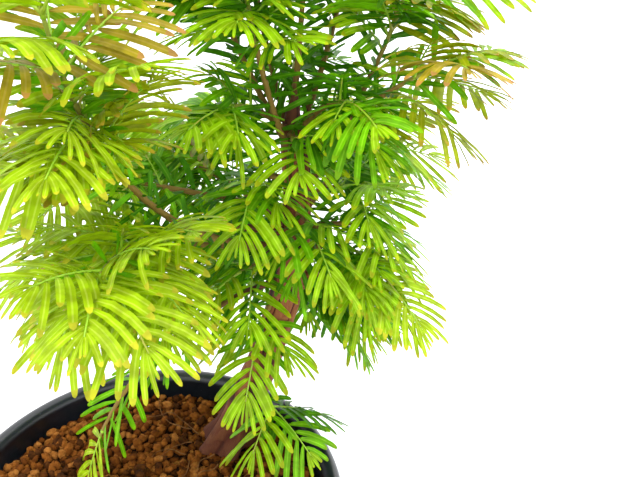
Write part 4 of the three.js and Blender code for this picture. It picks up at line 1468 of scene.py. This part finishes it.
soil_bed = make_piece("soil_bed", bed_surface(), [soil_finish("soil_bed_shade", *BED_SHADE_TINTS)])
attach(soil_bed, "root")
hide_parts("soil")

# %% Soil granules
CRUMB_RINGS = 5
CRUMB_AROUND = 8
CRUMB_LAYERS = [  # spacing, seed, how deep it is sunk, smallest, largest, share of places taken
    (2.9, 11, 1.7, 2.9, 4.1, 1.0),
    (3.8, 12, 0.1, 2.4, 4.5, 0.7),
]
CRUMB_SHAKE = 0.75
CRUMB_TALL = 64  # degrees above and below the middle, where the two end faces close a crumb
CRUMB_FLAT = 0.85
BROWN_SEED, BROWN_STEPS = 21, (0.3, 0.62, 0.8)
CRUMB_BROWNS = [
    ((76, 39, 10), (110, 62, 19)),
    ((94, 51, 14), (134, 80, 29)),
    ((116, 69, 25), (158, 104, 48)),
    ((48, 25, 8), (78, 43, 14)),
]


def scattered(spacing, seed, edge):
    """Places on a shaken triangular grid inside a circle, clear of the trunk's foot."""
    half = int(np.ceil(edge / spacing)) + 1
    column, row = np.meshgrid(np.arange(-half, half + 1), np.arange(-half - 4, half + 5))
    x = spacing * (column + 0.5 * (row % 2)).ravel()
    y = spacing * np.sqrt(0.75) * row.ravel()
    key = np.arange(len(x))
    x, y = (axis + shaken(CRUMB_SHAKE * spacing, key, seed, k) for axis, k in ((x, 1), (y, 2)))
    from_trunk = np.hypot(x - TRUNK_FOOT[0], y - TRUNK_FOOT[1])
    keep = (np.hypot(x, y) < edge) & (from_trunk > FOOT_RADIUS + FLARE - 1.5)
    return x[keep], y[keep], key[keep]


def crumbs(spacing, seed, sunk, small, large, present):
    """Lumps on scattered places, (crumbs, rings, around, 3), their middles sunk that far below the
    soil's top: a ball flattened a little, with its radius pushed about by waves of random phase."""
    x, y, key = scattered(spacing, seed, RIM_RADIUS - LIP_WIDTH - 0.5 * large - 0.6)
    keep = chance(key, seed, 3) < present
    x, y, key = x[keep], y[keep], key[keep]
    size = mix(small, large, chance(key, seed, 4) ** 1.6) / 2
    z = soil_top(x, y) - sunk + shaken(0.9, key, seed, 5)
    rise = np.radians(np.linspace(-CRUMB_TALL, CRUMB_TALL, CRUMB_RINGS))[None, :, None]
    turn = circle(CRUMB_AROUND)[None, None]
    phases = [2 * np.pi * chance(key, seed, 6 + k)[:, None, None] for k in range(4)]
    wave = 0.16 * np.sin(2 * turn + phases[0]) * np.cos(rise)
    wave = wave + 0.12 * np.sin(3 * turn + 2 * rise + phases[1])
    wave = wave + 0.1 * np.sin(4 * rise + phases[2]) + 0.08 * np.sin(5 * turn - 3 * rise + phases[3])
    radius = size[:, None, None] * (1 + wave)
    tilt = 0.5 * np.sin(phases[3])
    out = np.stack([
        radius * np.cos(rise) * np.cos(turn),
        radius * np.cos(rise) * np.sin(turn),
        CRUMB_FLAT * radius * (np.sin(rise) + tilt * np.cos(rise) * np.cos(turn + phases[0])),
    ], -1)
    return np.stack([x, y, z], -1)[:, None, None] + out, key


layers = [crumbs(*layer) for layer in CRUMB_LAYERS]
crumb_grid = np.concatenate([grid for grid, _ in layers])
luck = np.concatenate([chance(key, BROWN_SEED + number, 1) for number, (_, key) in enumerate(layers)])
crumb_brown = np.searchsorted(BROWN_STEPS, luck)
crumb_materials = [
    soil_finish(f"soil_brown_{number}", *browns) for number, browns in enumerate(CRUMB_BROWNS)]
faces_each = (CRUMB_RINGS - 1) * CRUMB_AROUND, 2
granules = make_piece(
    "soil_granules", crumb_grid, crumb_materials,
    slots=np.concatenate([np.repeat(crumb_brown, each) for each in faces_each]))
print("granules:", len(crumb_grid))
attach(granules, "root")
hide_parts("soil")

# %% [markdown]
# ## Root fibres
#
# Watering washes a few fine dead roots up to the surface. They lie on the granules near the foot of
# the trunk, in loose curves. Each is a thin tube on a path that wanders as two waves.

# %% Root fibres
FIBRES = 10
FIBRE_RINGS = 26
FIBRE_AROUND = 6
FIBRE_FAN = (150, 330)  # bearings, so that they lie in front of the trunk
FIBRE_RADII, FIBRE_WIDTHS = (0.28, 0.12), (0.7, 1.2)
FIBRE_LENGTHS, FIBRE_STARTS, FIBRE_WANDER = (12, 34), (9, 20), 46
FIBRE_SEED = 61
FIBRE_TINTS = ((84, 54, 30), (122, 86, 50))


def fibre_points():
    """Tubes, (fibres, rings, around, 3), that start round the trunk and wander off over the soil."""
    key = np.arange(FIBRES)
    share = np.linspace(0, 1, FIBRE_RINGS)[None]
    bearing, first = (mix(*FIBRE_FAN, (key + chance(key, FIBRE_SEED, k)) / FIBRES)[:, None]
                      for k in (1, 5))
    sway = np.sin(2.6 * share + 6 * chance(key, FIBRE_SEED, 2)[:, None])
    bearing = np.radians(bearing + FIBRE_WANDER * sway)
    step = between(*FIBRE_LENGTHS, key, FIBRE_SEED, 3)[:, None] / FIBRE_RINGS
    start = between(*FIBRE_STARTS, key, FIBRE_SEED, 4)[:, None]
    x, y = (foot + start * part(np.radians(first)) + np.cumsum(step * part(bearing), axis=1)
            for foot, part in zip(TRUNK_FOOT, (np.cos, np.sin)))
    z = soil_top(x, y) + 1.9 + 0.5 * np.sin(9 * share + 6 * chance(key, FIBRE_SEED, 6)[:, None])
    middle = np.stack([x, y, z], -1)
    radius = mix(*FIBRE_RADII, share) * between(*FIBRE_WIDTHS, key, FIBRE_SEED, 7)[:, None]
    sides = sides_of(unit(np.gradient(middle, axis=1)))
    return tube(middle, *sides, radius[..., None] + np.zeros(FIBRE_AROUND))


fibres = make_piece("root_fibres", fibre_points(), [soil_finish("root_fibre", *FIBRE_TINTS)])
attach(fibres, "root")
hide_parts("soil")

# %% [markdown]
#
# The dressed plant may pass the box of the solids by a few millimetres only, or the frame would be
# wrong. The box of the solids is printed.

# %% Finish
print("box of the solids in mm:", [[round(v / MM, 1) for v in corner] for corner in cad_box])
